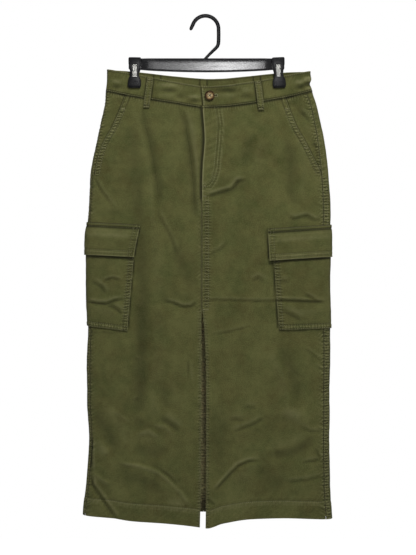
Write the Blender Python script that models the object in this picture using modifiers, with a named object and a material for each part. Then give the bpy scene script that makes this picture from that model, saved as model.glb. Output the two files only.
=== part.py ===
"""A cargo utility skirt, hung by its waistband from a plastic clip hanger.

The origin is the place inside the hook's top that rests on a rail. +Z is up, the front of the
skirt faces -Y, and +X is the wearer's left, so "right" and "left" in a name are the wearer's.

The skirt hangs as a flattened tube. Its form is a stack of level sections, each a closed curve
with two rounded folds, one at each side. A place on the cloth is (w, level): level is how far it
is below the rail, in millimetres, and w goes once round the tube, from 0 at the right fold,
across the front to 0.5 at the left fold, and back across the back to 1. Every piece of cloth is
a grid laid on that form between its own seam lines, moved out by the layers under it, and then
extruded into a slab as thick as its cloth.
"""

import math
from collections import namedtuple

import bmesh
import bpy
import numpy as np
from mathutils import Matrix, Vector

MM = 0.001

# ---------------------------------------------------------------- driving dimensions, in mm

CLOTH = 1.5  # one layer of cotton twill, at the least wall that a solid keeps
BAND = 2.4  # a faced and interlined waistband
FLAP = 2.2  # a flap of two layers
LOOP = 2.0
SEAM_GAP = 0.3  # between two pieces that are sewn edge to edge
WAIST_GAP = 0.5  # between the panels and the waistband
LAYER_GAP = 0.7  # between two pieces that lie on each other
BAND_OUT = 0.5  # the waistband stands this far proud of the panels

POCKET_OUT = LAYER_GAP + CLOTH
FLAP_OUT = POCKET_OUT + LAYER_GAP + FLAP
LOOP_OUT = BAND_OUT + LAYER_GAP + LOOP

CLIP_X = {"right": -140.0, "left": 146.0}  # the middle of each clip
CLIP_LEVEL = 131.0  # the middle of the pads
PINCH = 2.9  # half the thickness of the skirt where a clip holds it
PINCH_REACH = (45.0, 60.0)  # how far the pinch spreads, across and down

BUTTON_AT = (9.5, 157.5)  # x and level of the button's middle
BUTTON_RADIUS = 9.6
BUTTON_HEIGHT = 3.0
UNDERLAP = 38.0  # the waistband's end that carries the button, behind the other end

# ---------------------------------------------------------------- the form of the hanging tube

Section = namedtuple("Section", "level left right front back fold_radius")
# left and right are the x of the folds as seen from the front, front and back are how far the
# cloth bulges from the middle plane, and fold_radius is the roundness of both folds.
SECTIONS = [
    Section(90, -195, 210.5, 6, 6, 4.6),
    Section(128, -196, 210.5, 6.5, 6.2, 5),
    Section(148, -198, 213.5, 7, 6.6, 5.5),
    Section(173, -200, 222, 7.6, 7.2, 6.5),
    Section(205, -207, 230, 8.4, 8, 7.5),
    Section(253, -217, 240, 9.5, 9, 8.5),
    Section(317, -229, 248, 10.8, 10.3, 9.5),
    Section(381, -233, 250.5, 12, 11.5, 10),
    Section(461, -236, 249.5, 13.2, 12.8, 10.5),
    Section(573, -236, 249.5, 14.6, 14.6, 11),
    Section(655, -235, 250, 15.6, 15.8, 11.5),
    Section(765, -236, 250, 17, 17.4, 12),
    Section(845, -233, 249, 18, 18.4, 12),
    Section(925, -237, 250, 19, 19.6, 12.5),
    Section(1000, -244, 254, 20, 20.6, 13),
    Section(1040, -246, 256, 20.5, 21, 13),
]

EdgeRow = namedtuple("EdgeRow", "across front_top back_top front_seam back_seam front_hem back_hem")
# Levels of the waistband's top edge, the waist seam and the hem. across is -1 at the right fold,
# 0 in the middle and 1 at the left fold.
EDGES = [
    EdgeRow(-1.0, 104.0, 104.0, 148, 148, 993, 993),
    EdgeRow(-0.8, 110.5, 107.0, 156, 152, 996.5, 994),
    EdgeRow(-0.6, 118.5, 111.0, 163.5, 156, 1003.5, 994),
    EdgeRow(-0.35, 128.5, 116.5, 172, 161, 1007.5, 993),
    EdgeRow(-0.06, 137.5, 121.5, 180.5, 166, 1015, 993),
    EdgeRow(0.0, 138.0, 122.0, 180.5, 166.5, 1017, 993),
    EdgeRow(0.12, 137.0, 121.5, 179.5, 166, 1008, 993.5),
    EdgeRow(0.35, 131.0, 117.5, 174, 162, 999.5, 995),
    EdgeRow(0.6, 122.5, 112.5, 165.5, 157.5, 997.5, 997),
    EdgeRow(0.8, 114.5, 109.0, 158, 153.5, 999, 999),
    EdgeRow(1.0, 107.5, 107.5, 148.5, 148.5, 1001, 1001),
]

SeamRow = namedtuple("SeamRow", "level right_side left_side front_right front_left")
# right_side and left_side are how far the side seams lie in front of their folds, along the
# cloth. front_right and front_left are the x of the two front panels' middle edges: the fly's
# edge, the centre seam below it, and then the two edges of the slit.
SEAMS = [
    SeamRow(140, 3.0, 15.0, -6.5, -6.0),
    SeamRow(180, 4.0, 16.0, -5.5, -5.0),
    SeamRow(245, 6.0, 19.0, -1.5, -1.0),
    SeamRow(300, 8.0, 21.0, -5.5, -5.0),
    SeamRow(340, 9.0, 21.0, -6.6, -6.2),
    SeamRow(450, 9.0, 21.0, -6.2, -5.8),
    SeamRow(573, 11.0, 21.0, -6.4, -6.0),
    SeamRow(625, 13.0, 21.0, -7.0, -1.5),
    SeamRow(710, 14.0, 21.0, -7.0, 1.8),
    SeamRow(825, 14.0, 21.0, -7.4, 2.2),
    SeamRow(930, 13.0, 21.5, -8.0, 2.0),
    SeamRow(1040, 13.0, 22.0, -10.6, 0.6),
]
BACK_SEAM_X = -3.0

PocketRow = namedtuple("PocketRow", "level right_opening left_opening")
# x of the two slanted edges of the hip pockets, from the waist seam to their lower ends.
HIP_POCKETS = [
    PocketRow(140, -153, 154),
    PocketRow(189, -172, 171),
    PocketRow(221, -186, 184),
    PocketRow(247, -201, 199),
    PocketRow(278, -213, 215),
    PocketRow(310, -220, 231),
]
HIP_POCKET_END = 316.0
FACING_UNDER = 12.0  # the facing goes on behind the front panel by this much
FACING_BEHIND = 1.2  # between the front panel's inner face and the facing

FACING_LEVEL_FROM = 8.0  # how far in front of the slanted edge the facing starts to come forward
FACING_LEVEL_RUN = 20.0  # and over how much cloth it does

PANEL_ROWS = 26
FACING_ROWS = 20  # the facings end this many of the panels' rows above the hem
FRONT_COLUMNS = 8
BACK_COLUMNS = 7
FACING_COLUMNS = 6
BAND_ROWS = 3
BAND_COLUMNS = {"right": 11, "left": 12, "back": 22}

# Levels near which the hem, the waist seam, the waistband's top and its middle lie.
HEM_LEVEL, SEAM_LEVEL, BAND_TOP_LEVEL, BAND_MIDDLE_LEVEL = 1000.0, 170.0, 120.0, 160.0
# Lines of the right waistband near the left one's edge, up to its own end behind it.
UNDERLAP_LINES = (-13.0, -9.0, -5.0, -1.5, 12.0, UNDERLAP)
UNDERLAP_FROM, UNDERLAP_RUN = 2.0, 12.0  # where and over how much cloth it dips behind the left one

ZIP_WIDTH = 28.0
ZIP_AHEAD = 9.0  # how much of the zip lies on the right of the fly's edge
ZIP_TOP, ZIP_FOOT = 184.0, 338.0
ZIP_THICKNESS = 1.2
ZIP_BEHIND = 1.8  # between the panels' inner face and the zip
ZIP_ROWS = 6

Patch = namedtuple("Patch", "front_top front_bottom back_top back_bottom "
                            "top_front top_back bottom_front bottom_back")
# The first four are distances from the fold along the cloth, at the piece's upper and lower
# edge. The last four are the levels of its upper and lower edge at its front and back corners.
POUCHES = {
    "right": Patch(104, 88, 88, 74, 448, 436, 627, 606),
    "left": Patch(122, 110, 84, 72, 450, 440, 625, 618),
}
FLAPS = {
    "right": Patch(112, 101, 96, 94, 415, 404, 480, 470),
    "left": Patch(131, 128, 92, 90, 423, 408, 487, 473),
}

POUCH_ROWS, FLAP_ROWS, PATCH_COLUMNS = 6, 3, 3

Loop = namedtuple("Loop", "name face x_top x_bottom top bottom")
LOOP_WIDTH = 12.5
LOOP_ROWS = 4
LOOPS = [
    Loop("belt_loop_front_right", "front", -109, -115, 122, 182),
    Loop("belt_loop_front_left", "front", 108, 113, 128, 187),
    Loop("belt_loop_back_right", "back", -96, -98, 118, 170),
    Loop("belt_loop_back_left", "back", 104, 106, 119, 171),
    Loop("belt_loop_centre_back", "back", -3, -3, 125, 178),
]

Fold = namedtuple("Fold", "back x_from level_from x_to level_to width height")
# The largest folds: a soft trough or ridge along a line, height mm proud of the plain form.
FOLDS = [
    Fold(False, -129, 190, -89, 400, 18, -3.5),
    Fold(False, -89, 400, -22, 545, 18, -3.5),
    Fold(False, -49, 200, -19, 440, 16, -3.0),
    Fold(False, -133, 430, -126, 760, 26, -3.0),
    Fold(False, -110, 566, -14, 572, 18, -3.0),
    Fold(False, 12, 356, 78, 331, 18, -3.5),
    Fold(False, 171, 255, 186, 380, 20, -3.0),
    Fold(False, -222, 915, -160, 1012, 16, -4.5),
    Fold(False, -196, 905, -128, 1012, 18, 4.5),
    Fold(False, -160, 892, -42, 955, 18, 4.0),
    Fold(False, 26, 945, 104, 884, 18, 3.5),
    Fold(False, 106, 905, 130, 955, 18, -3.5),
    Fold(True, -100, 300, -120, 960, 30, -4.0),
    Fold(True, 62, 260, 84, 980, 32, -4.5),
    Fold(True, 0, 640, -20, 1000, 34, 4.0),
    Fold(True, 150, 640, 168, 1000, 30, 3.5),
]

OLIVE = (0.087, 0.085, 0.033, 1.0)
HORN = (0.34, 0.19, 0.08, 1.0)
BLACK = (0.012, 0.012, 0.013, 1.0)
STEEL = (0.62, 0.61, 0.58, 1.0)

# ---------------------------------------------------------------- curves through the tables


def column(rows, name):
    return np.array([getattr(row, name) for row in rows], float)


def smooth(rows, along, name, at):
    """The named column of a table at other places, on a smooth curve through its rows that
    never goes past two neighbouring rows."""
    known, values = column(rows, along), column(rows, name)
    chords = np.diff(values) / np.diff(known)
    before, after = chords[:-1], chords[1:]
    both = np.where(before * after > 0, before + after, 1.0)
    middle = np.where(before * after > 0, 2 * before * after / both, 0.0)
    slopes = np.concatenate([chords[:1], middle, chords[-1:]])
    at = np.clip(np.asarray(at, float), known[0], known[-1])
    i = np.clip(np.searchsorted(known, at, side="right") - 1, 0, len(known) - 2)
    step = known[i + 1] - known[i]
    t = (at - known[i]) / step
    rise = t * t * (3 - 2 * t)
    ease_in = t * (1 - t) ** 2 * step * slopes[i]
    ease_out = -t * t * (1 - t) * step * slopes[i + 1]
    return values[i] * (1 - rise) + values[i + 1] * rise + ease_in + ease_out


def pinch(x, level):
    """1 where a clip holds the skirt, falling to 0 away from it."""
    total = 0.0
    for middle in CLIP_X.values():
        across, down = (x - middle) / PINCH_REACH[0], (level - CLIP_LEVEL) / PINCH_REACH[1]
        total = total + 1 / (1 + (across**2 + down**2) ** 2)
    return total


# ---------------------------------------------------------------- the form, as a look-up grid

LEVEL_STEP = 6.0
LEVELS = np.arange(90.0, 1040.1, LEVEL_STEP)
HALF = 240  # samples across the front, and again across the back
EVEN = np.linspace(0.0, 1.0, HALF + 1)


def half_section(level, depth):
    """x and bulge at even steps along one face of a level section, and that face's length."""
    left, right = smooth(SECTIONS, "level", "left", level), smooth(SECTIONS, "level", "right", level)
    radius = smooth(SECTIONS, "level", "fold_radius", level)
    half_width = (right - left) / 2
    across = np.sin(np.linspace(-math.pi / 2, math.pi / 2, 721))
    x = (left + right) / 2 + half_width * across
    power = 2 * radius * half_width / depth**2
    bulge = depth * np.sqrt(np.clip(1 - np.abs(across) ** power, 0, None))
    bulge = bulge * (1 - pinch(x, level) * (1 - PINCH / depth))
    length = np.concatenate([[0], np.cumsum(np.hypot(np.diff(x), np.diff(bulge)))])
    even = EVEN * length[-1]
    return np.interp(even, length, x), np.interp(even, length, bulge), length[-1]


def build_form():
    """x and y of the plain form at every LEVELS row and w column, and the two faces' lengths."""
    xs, ys, front_lengths, back_lengths = [], [], [], []
    for level in LEVELS:
        front_x, front_bulge, front_length = half_section(level, smooth(SECTIONS, "level", "front", level))
        back_x, back_bulge, back_length = half_section(level, smooth(SECTIONS, "level", "back", level))
        xs.append(np.concatenate([front_x, back_x[-2::-1]]))
        ys.append(np.concatenate([-front_bulge, back_bulge[-2::-1]]))
        front_lengths.append(front_length)
        back_lengths.append(back_length)
    return np.array(xs), np.array(ys), np.array(front_lengths), np.array(back_lengths)


FORM_X, FORM_Y, FRONT_LENGTH, BACK_LENGTH = build_form()


def look_up(table, w, level):
    """A value of the form's grid between its rows and columns."""
    row = np.clip((np.asarray(level, float) - LEVELS[0]) / LEVEL_STEP, 0, len(LEVELS) - 1.001)
    col = (np.asarray(w, float) % 1.0) * 2 * HALF
    r, c = row.astype(int), np.minimum(col.astype(int), 2 * HALF - 1)
    fr, fc = row - r, col - c
    upper = table[r, c] * (1 - fc) + table[r, c + 1] * fc
    lower = table[r + 1, c] * (1 - fc) + table[r + 1, c + 1] * fc
    return upper * (1 - fr) + lower * fr


def plain(w, level):
    """Points of the plain form, in mm."""
    x, y = look_up(FORM_X, w, level), look_up(FORM_Y, w, level)
    return np.stack([x, y, -np.asarray(level, float)], axis=-1)


def outward(w, level):
    """Unit normals of the plain form, pointing out of the skirt."""
    w, level = np.broadcast_arrays(np.asarray(w, float), np.asarray(level, float))
    along = plain(w + 0.002, level) - plain(w - 0.002, level)
    up = plain(w, level - LEVEL_STEP) - plain(w, level + LEVEL_STEP)
    normal = np.cross(along, up)
    return normal / np.linalg.norm(normal, axis=-1, keepdims=True)


def fold_height(w, level):
    """How far the folds lift the cloth from the plain form at (w, level)."""
    at = plain(w, level)
    on_back = (np.asarray(w, float) % 1.0) > 0.5
    height = np.zeros(at.shape[:-1])
    for fold in FOLDS:
        start = np.array([fold.x_from, fold.level_from], float)
        run = np.array([fold.x_to, fold.level_to], float) - start
        offset = np.stack([at[..., 0] - start[0], -at[..., 2] - start[1]], axis=-1)
        share = (offset @ run) / (run @ run)
        aside = np.linalg.norm(offset - np.clip(share, 0, 1)[..., None] * run, axis=-1)
        fade = np.clip(share * 4, 0, 1) * np.clip((1 - share) * 4, 0, 1)
        lift = fold.height * np.exp(-((aside / fold.width) ** 2)) * fade
        height += np.where(on_back == fold.back, lift, 0.0)
    return height


def surface(w, level, out=0.0):
    """Points of the cloth's outer face, out mm outside the panels' own face, in metres."""
    lift = fold_height(w, level) + out
    return (plain(w, level) + outward(w, level) * lift[..., None]) * MM


# ---------------------------------------------------------------- places on the form


def w_at(x, level, face):
    """w of the place on that face, "front" or "back", with that x."""
    row = min(max((float(level) - LEVELS[0]) / LEVEL_STEP, 0), len(LEVELS) - 1.001)
    near = int(row)
    found = []
    for index in (near, near + 1):
        if face == "front":
            found.append(np.interp(x, FORM_X[index, : HALF + 1], EVEN / 2))
        else:
            found.append(np.interp(x, FORM_X[index, HALF:][::-1], 1 - EVEN / 2))
    return float(found[0] * (1 - row + near) + found[1] * (row - near))


def fold_w(side, distance, level):
    """w of the place that far in front of a side's fold along the cloth, or behind it if negative."""
    length = np.interp(level, LEVELS, FRONT_LENGTH if distance > 0 else BACK_LENGTH)
    return distance / (2 * length) if side == "right" else 0.5 - distance / (2 * length)


def edge_level(line, w, level):
    """The level of an edge line, "top", "seam" or "hem", at w."""
    low = float(smooth(SECTIONS, "level", "left", level))
    high = float(smooth(SECTIONS, "level", "right", level))
    across = (float(look_up(FORM_X, w, level)) - (low + high) / 2) * 2 / (high - low)
    face = "back_" if (w % 1.0) > 0.5 else "front_"
    return float(smooth(EDGES, "across", face + line, across))


def side_seam(side, level):
    return fold_w(side, float(smooth(SEAMS, "level", side + "_side", level)), level)


def front_edge(side, level):
    return w_at(float(smooth(SEAMS, "level", "front_" + side, level)), level, "front")


def hip_opening(side, level):
    return w_at(float(smooth(HIP_POCKETS, "level", side + "_opening", level)), level, "front")


def mm_to_w(distance, level):
    return distance / (2 * float(np.interp(level, LEVELS, FRONT_LENGTH)))


# ---------------------------------------------------------------- making objects

HALF_GAP = SEAM_GAP / 2


def make_collection(name, shown):
    collection = bpy.data.collections.new(name)
    collection.hide_render = not shown
    bpy.context.scene.collection.children.link(collection)
    return collection


def make_material(name, colour, roughness, metallic=0.0):
    material = bpy.data.materials.new(name)
    material.use_nodes = True
    shader = material.node_tree.nodes["Principled BSDF"]
    shader.inputs["Base Color"].default_value = colour
    shader.inputs["Roughness"].default_value = roughness
    shader.inputs["Metallic"].default_value = metallic
    material.diffuse_color = colour
    return material


def add_object(name, data, collection, material=None):
    thing = bpy.data.objects.new(name, data)
    collection.objects.link(thing)
    if material:
        data.materials.append(material)
    return thing


def smooth_shading(mesh, angle=40):
    mesh.shade_smooth()
    mesh.set_sharp_from_angle(angle=math.radians(angle))


def slab(name, outer, inner, collection, material):
    """A solid between two grids of points of the same shape, outer[i, j] and inner[i, j]."""
    columns, rows = outer.shape[0] - 1, outer.shape[1] - 1
    bm = bmesh.new()
    bmesh.ops.create_grid(bm, x_segments=columns, y_segments=rows, size=0.5)
    grown = bmesh.ops.extrude_face_region(bm, geom=bm.faces[:])
    behind = {item for item in grown["geom"] if isinstance(item, bmesh.types.BMVert)}
    for vertex in bm.verts:
        i, j = round((vertex.co.x + 0.5) * columns), round((vertex.co.y + 0.5) * rows)
        vertex.co = (inner if vertex in behind else outer)[i, j]
    bmesh.ops.recalc_face_normals(bm, faces=bm.faces)
    mesh = bpy.data.meshes.new(name)
    bm.to_mesh(mesh)
    bm.free()
    smooth_shading(mesh)
    return add_object(name, mesh, collection, material)


def cut(thing, cutter, operation="DIFFERENCE"):
    """Cuts a solid with another, or joins the two."""
    boolean = thing.modifiers.new(operation.lower(), "BOOLEAN")
    boolean.operation = operation
    boolean.object = cutter
    cutter.hide_render = True
    cutter.display_type = "WIRE"


# ---------------------------------------------------------------- lines down the cloth

# A line is a function that gives w at a level. A piece of cloth is a grid on such lines.
BEHIND_FOLD = (27.0, 18.0, 11.5, 6.8, 3.2)  # lines on the back, from a fold, along the cloth
AHEAD_OF_SEAM = (9.0, 20.0)  # lines on the front, from a side seam
FOLD_COLUMNS = 3  # from a fold to its side seam
BAND_FOLD_STEPS = (1.8, 4.2, 7.6, 13.0)  # lines of the waistband each side of a fold
TOWARDS_FRONT = {"right": 1, "left": -1}  # the way w runs from a side's fold to the front


def moved(line, distance):
    """A line moved along the cloth, by mm, the way w rises."""
    return lambda level: line(level) + mm_to_w(distance, level)


def from_fold(side, distance):
    """The line that far in front of a side's fold, or behind it if negative."""
    return lambda level: fold_w(side, distance, level)


def mixed(first, second, share):
    return lambda level: first(level) * (1 - share) + second(level) * share


def spread(first, second, count):
    """Even lines from the first one up to the second, without the second."""
    return [mixed(first, second, index / count) for index in range(count)]


def seam_line(side):
    return lambda level: side_seam(side, level)


def round_fold(side):
    """Lines round a side's fold, from the back to its side seam, without the seam."""
    behind = [from_fold(side, -distance) for distance in BEHIND_FOLD]
    return behind + spread(from_fold(side, 0.0), seam_line(side), FOLD_COLUMNS)


def front_side(side):
    """A front panel's side edge: the hip pocket's opening above, and the side seam below."""

    def at(level):
        sign = TOWARDS_FRONT[side]
        seam = side_seam(side, level) + sign * mm_to_w(HALF_GAP, level)
        opening = hip_opening(side, level)
        past_seam = (opening - seam) * sign > 0
        return opening if level < HIP_POCKET_END and past_seam else seam

    return at


# ---------------------------------------------------------------- edges across the cloth


def hem_edge(w):
    return edge_level("hem", w, HEM_LEVEL)


def panel_top(w):
    return edge_level("seam", w, SEAM_LEVEL) + WAIST_GAP


def band_foot(w):
    return edge_level("seam", w, SEAM_LEVEL)


def band_top(w):
    return edge_level("top", w, BAND_TOP_LEVEL)


def pocket_end(w):
    """The facings' lower edge, which follows a row of the panels' grid."""
    share = FACING_ROWS / PANEL_ROWS
    return hem_edge(w) * (1 - share) + panel_top(w) * share


FIRST_LEVEL = 500.0  # where the search for a grid point's place starts
SEARCH_ROUNDS = 6


def cloth(name, collection, material, lines, bottom, top, rows, thickness, out=0.0):
    """A piece of cloth on its lines, between two edges. out is how far its face is outside the
    panels' face, as a number or as a function of (w, level)."""
    shape = (len(lines), rows + 1)
    w, level, lift = np.zeros(shape), np.zeros(shape), np.zeros(shape)
    for i, line in enumerate(lines):
        for j in range(rows + 1):
            at_level = FIRST_LEVEL
            for _ in range(SEARCH_ROUNDS):
                at_w = line(at_level)
                at_level = bottom(at_w) + (top(at_w) - bottom(at_w)) * j / rows
            w[i, j], level[i, j] = at_w, at_level
            lift[i, j] = out(at_w, at_level) if callable(out) else out
    return slab(name, surface(w, level, lift), surface(w, level, lift - thickness), collection, material)


# ---------------------------------------------------------------- pieces of cloth


def make_front_panels(collection, twill):
    for side, sign in TOWARDS_FRONT.items():
        edge = front_side(side)

        def middle(level, side=side, sign=sign):
            return front_edge(side, level) - sign * mm_to_w(HALF_GAP, level)

        steps = [moved(edge, sign * distance) for distance in AHEAD_OF_SEAM]
        lines = [edge] + steps[:-1] + spread(steps[-1], middle, FRONT_COLUMNS) + [middle]
        lines = lines if side == "right" else lines[::-1]
        cloth(f"front_{side}_panel", collection, twill, lines, hem_edge, panel_top, PANEL_ROWS, CLOTH)


def make_back_panels(collection, twill):
    for side, sign in TOWARDS_FRONT.items():

        def middle(level, side=side, sign=sign):
            w = w_at(BACK_SEAM_X, level, "back") + sign * mm_to_w(HALF_GAP, level)
            return w - 1 if side == "right" else w

        turn = round_fold(side)
        seam = moved(seam_line(side), -sign * HALF_GAP)
        lines = spread(middle, turn[0], BACK_COLUMNS) + turn + [seam]
        lines = lines if side == "right" else lines[::-1]
        cloth(f"back_{side}_panel", collection, twill, lines, hem_edge, panel_top, PANEL_ROWS, CLOTH)


def make_hip_facings(collection, twill):
    """The side piece behind each slanted pocket edge. It lies level with the panels at the side
    seam, and dips behind the front panel at the opening."""
    under = CLOTH + FACING_BEHIND
    for side, sign in TOWARDS_FRONT.items():
        edge = front_side(side)
        seam = moved(seam_line(side), sign * HALF_GAP)
        inner = moved(edge, sign * FACING_UNDER)

        def dip(w, level, edge=edge, sign=sign):
            clear = sign * (edge(level) - w) / mm_to_w(1.0, level)
            rise = np.clip((clear - FACING_LEVEL_FROM) / FACING_LEVEL_RUN, 0, 1)
            return -under * (1 - rise * rise * (3 - 2 * rise))

        lines = spread(seam, inner, FACING_COLUMNS) + [inner]
        lines = lines if side == "right" else lines[::-1]
        cloth(f"hip_facing_{side}", collection, twill, lines, pocket_end, panel_top,
              PANEL_ROWS - FACING_ROWS, CLOTH, dip)


def make_waistband(collection, twill):
    """Two front bands and a back band. The right one goes on behind the left one's end, to
    carry the button."""
    step_down = BAND + LAYER_GAP

    def lap(level):
        return front_edge("left", BAND_MIDDLE_LEVEL)

    def dip(w, level):
        before = (lap(level) - w) / mm_to_w(1.0, BAND_MIDDLE_LEVEL)
        rise = np.clip((before - UNDERLAP_FROM) / UNDERLAP_RUN, 0, 1)
        return BAND_OUT - step_down * (1 - rise * rise * (3 - 2 * rise))

    def near(side, way):
        """Lines from a fold, towards the front for way 1 and towards the back for way -1."""
        return [from_fold(side, way * distance) for distance in (SEAM_GAP,) + BAND_FOLD_STEPS]

    right, left = near("right", 1), near("left", 1)[::-1]
    under = [moved(lap, distance) for distance in UNDERLAP_LINES]
    lines = right[:-1] + spread(right[-1], under[0], BAND_COLUMNS["right"]) + under
    cloth("waistband_front_right", collection, twill, lines, band_foot, band_top, BAND_ROWS, BAND, dip)
    lines = spread(lap, left[0], BAND_COLUMNS["left"]) + left
    cloth("waistband_front_left", collection, twill, lines, band_foot, band_top, BAND_ROWS, BAND, BAND_OUT)
    left = near("left", -1)
    right = [shifted(line) for line in near("right", -1)[::-1]]
    lines = left[:-1] + spread(left[-1], right[0], BAND_COLUMNS["back"]) + right
    cloth("waistband_back", collection, twill, lines, band_foot, band_top, BAND_ROWS, BAND, BAND_OUT)


def shifted(line):
    """The same line, once more round the tube."""
    return lambda level: line(level) + 1


def patch_edge(side, patch, way):
    """The front edge of a pouch or flap for way 1, and its back edge for way -1."""
    upper, lower = (patch.front_top, patch.front_bottom) if way > 0 else (patch.back_top, patch.back_bottom)
    start, end = (patch.top_front, patch.bottom_front) if way > 0 else (patch.top_back, patch.bottom_back)

    def at(level):
        share = min(max((level - start) / (end - start), 0), 1)
        return fold_w(side, way * (upper * (1 - share) + lower * share), level)

    return at


def wrapped_patch(name, collection, material, side, patch, rows, thickness, out):
    """A pouch or flap that lies over the side seam, from the front round the fold to the back."""
    front, back = patch_edge(side, patch, 1), patch_edge(side, patch, -1)

    def across(at_front, at_back):
        level = (at_front + at_back) / 2
        ends = sorted([(front(level), at_front), (back(level), at_back)])
        return lambda w: float(np.interp(w, [ends[0][0], ends[1][0]], [ends[0][1], ends[1][1]]))

    sign = TOWARDS_FRONT[side]
    turn = round_fold(side)
    steps = [seam_line(side)] + [moved(seam_line(side), sign * distance) for distance in AHEAD_OF_SEAM]
    lines = spread(back, turn[0], PATCH_COLUMNS) + turn + steps[:-1]
    lines += spread(steps[-1], front, PATCH_COLUMNS) + [front]
    lines = lines if side == "right" else lines[::-1]
    bottom, top = across(patch.bottom_front, patch.bottom_back), across(patch.top_front, patch.top_back)
    cloth(name, collection, material, lines, bottom, top, rows, thickness, out)


def make_cargo_pockets(collection, twill):
    for side in TOWARDS_FRONT:
        wrapped_patch(f"cargo_pouch_{side}", collection, twill, side, POUCHES[side], POUCH_ROWS,
                      CLOTH, POCKET_OUT)
        wrapped_patch(f"cargo_flap_{side}", collection, twill, side, FLAPS[side], FLAP_ROWS,
                      FLAP, FLAP_OUT)


def make_belt_loops(collection, twill):
    for loop in LOOPS:

        def edge(offset, loop=loop):
            def at(level):
                share = min(max((level - loop.top) / (loop.bottom - loop.top), 0), 1)
                x = loop.x_top * (1 - share) + loop.x_bottom * share + offset
                return w_at(x, level, loop.face)

            return at

        lines = [edge(LOOP_WIDTH * across) for across in (-0.5, 0.0, 0.5)]
        lines = lines if loop.face == "front" else lines[::-1]
        cloth(loop.name, collection, twill, lines, lambda w, loop=loop: loop.bottom,
              lambda w, loop=loop: loop.top, LOOP_ROWS, LOOP, LOOP_OUT)


def make_zip(collection, material):
    """The closed zip behind the fly, its tape and chain as one strip."""

    def edge(offset):
        def at(level):
            return w_at(float(smooth(SEAMS, "level", "front_left", level)) + offset, level, "front")

        return at

    lines = [edge(-ZIP_AHEAD), edge(ZIP_WIDTH / 2 - ZIP_AHEAD), edge(ZIP_WIDTH - ZIP_AHEAD)]
    cloth("fly_zip", collection, material, lines, lambda w: ZIP_FOOT, lambda w: ZIP_TOP, ZIP_ROWS,
          ZIP_THICKNESS, -(CLOTH + ZIP_BEHIND))


# ---------------------------------------------------------------- the button

# Half of its section, down the outer side from the middle of its dished face to its base.
BUTTON_PROFILE = [(0.0, 2.2), (5.2, 2.2), (6.2, BUTTON_HEIGHT), (8.4, BUTTON_HEIGHT),
                  (BUTTON_RADIUS, 1.9), (BUTTON_RADIUS, 1.0), (8.2, 0.0), (0.0, 0.0)]
HOLE_RADIUS, HOLE_REACH = 1.0, 2.4  # each hole's radius and its distance from the middle
HOLE_DEPTH = 12.0  # the cutters go right through


def make_button(collection, cutters, horn):
    """A turned four-hole button, its axis along the waistband's normal."""
    mesh = bpy.data.meshes.new("button")
    mesh.from_pydata([(x * MM, 0, z * MM) for x, z in BUTTON_PROFILE],
                     [(i, i + 1) for i in range(len(BUTTON_PROFILE) - 1)], [])
    button = add_object("waist_button", mesh, collection, horn)
    turn = button.modifiers.new("turn", "SCREW")
    turn.axis, turn.steps, turn.render_steps = "Z", 28, 28
    turn.use_merge_vertices, turn.merge_threshold = True, 0.00005
    for index in range(4):
        angle = math.radians(45 + 90 * index)
        middle = Vector((math.cos(angle), math.sin(angle), 0)) * HOLE_REACH * MM
        hole = bmesh.new()
        bmesh.ops.create_cone(hole, cap_ends=True, segments=10, radius1=HOLE_RADIUS * MM,
                              radius2=HOLE_RADIUS * MM, depth=HOLE_DEPTH * MM,
                              matrix=Matrix.Translation(middle))
        hole_mesh = bpy.data.meshes.new(f"button_hole_{index}")
        hole.to_mesh(hole_mesh)
        hole.free()
        cutter = add_object(f"button_hole_{index}", hole_mesh, cutters)
        cutter.parent = button
        cut(button, cutter)
    x, level = BUTTON_AT
    w = np.array([w_at(x, level, "front")])
    base = surface(w, np.array([level]), np.array([BAND_OUT + LAYER_GAP]))[0]
    button.location = base
    button.rotation_euler = Vector(outward(w, np.array([level]))[0]).to_track_quat("Z", "Y").to_euler()


# ---------------------------------------------------------------- the hanger

BAR_MIDDLE = 3.0
BAR_HALF_LENGTH = 131.0  # the moulded rail between the clips' end blocks
BAR_TOP, BAR_FOOT = 84.0, 103.0
BAR_BELLY = 4.4  # how much deeper the rail is in its middle
BAR_DEPTH = 8.0
FLANGE = 2.2
WEB = 2.6
BLOCK = (25.0, 10.0)  # the end blocks that the clips straddle: width and depth
BLOCK_TOP, BLOCK_FOOT = 83.0, 103.5

HOOK_RADIUS = 26.6
HOOK_THICKNESS = 7.2
HOOK_BEND_LEVEL = 56.0
HOOK_FOOT = (-2.0, 86.0)  # x and level where the stem enters the rail
HOOK_CENTRE_X = 0.7
HOOK_TIP_RADIUS, HOOK_STEM_RADIUS = 0.82, 0.72  # as shares of the hook's own radius
# The hole in the rail that the stem stands in: its width right and left of the stem, how far it
# goes below the stem's end and above the rail, and half its depth.
SOCKET_RIGHT, SOCKET_LEFT, SOCKET_BELOW, SOCKET_ABOVE, SOCKET_HALF_DEPTH = 4.5, 6.0, 2.2, 4.0, 6.0

JawRow = namedtuple("JawRow", "level half_width face")
# The outline of a clip's jaw from the front, and how far its outer face is from the middle plane.
JAW = [
    JawRow(81.0, 11.4, 9.0),
    JawRow(83.2, 12.6, 10.2),
    JawRow(94.0, 12.4, 10.6),
    JawRow(104.0, 10.2, 10.6),
    JawRow(113.0, 8.6, 10.2),
    JawRow(120.0, 9.4, 9.6),
    JawRow(126.0, 12.2, 9.0),
    JawRow(136.0, 13.3, 8.4),
    JawRow(140.0, 12.8, 7.8),
    JawRow(142.0, 10.8, 6.9),
]
JAW_CROWN = 0.9  # how much a jaw's face falls away at its edges
JAW_LEAST = 1.6  # its least thickness
PAD_TOP = 121.0
PAD_BACK = 4.1  # the pad's inner face, just clear of the waistband
JAW_COLUMNS = 6
# Above the pad the inner face leans back, to stay clear of the end block and the spring.
BLOCK_CLEAR, LEAN_FROM = 1.4, BLOCK_FOOT + 3.0

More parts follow.
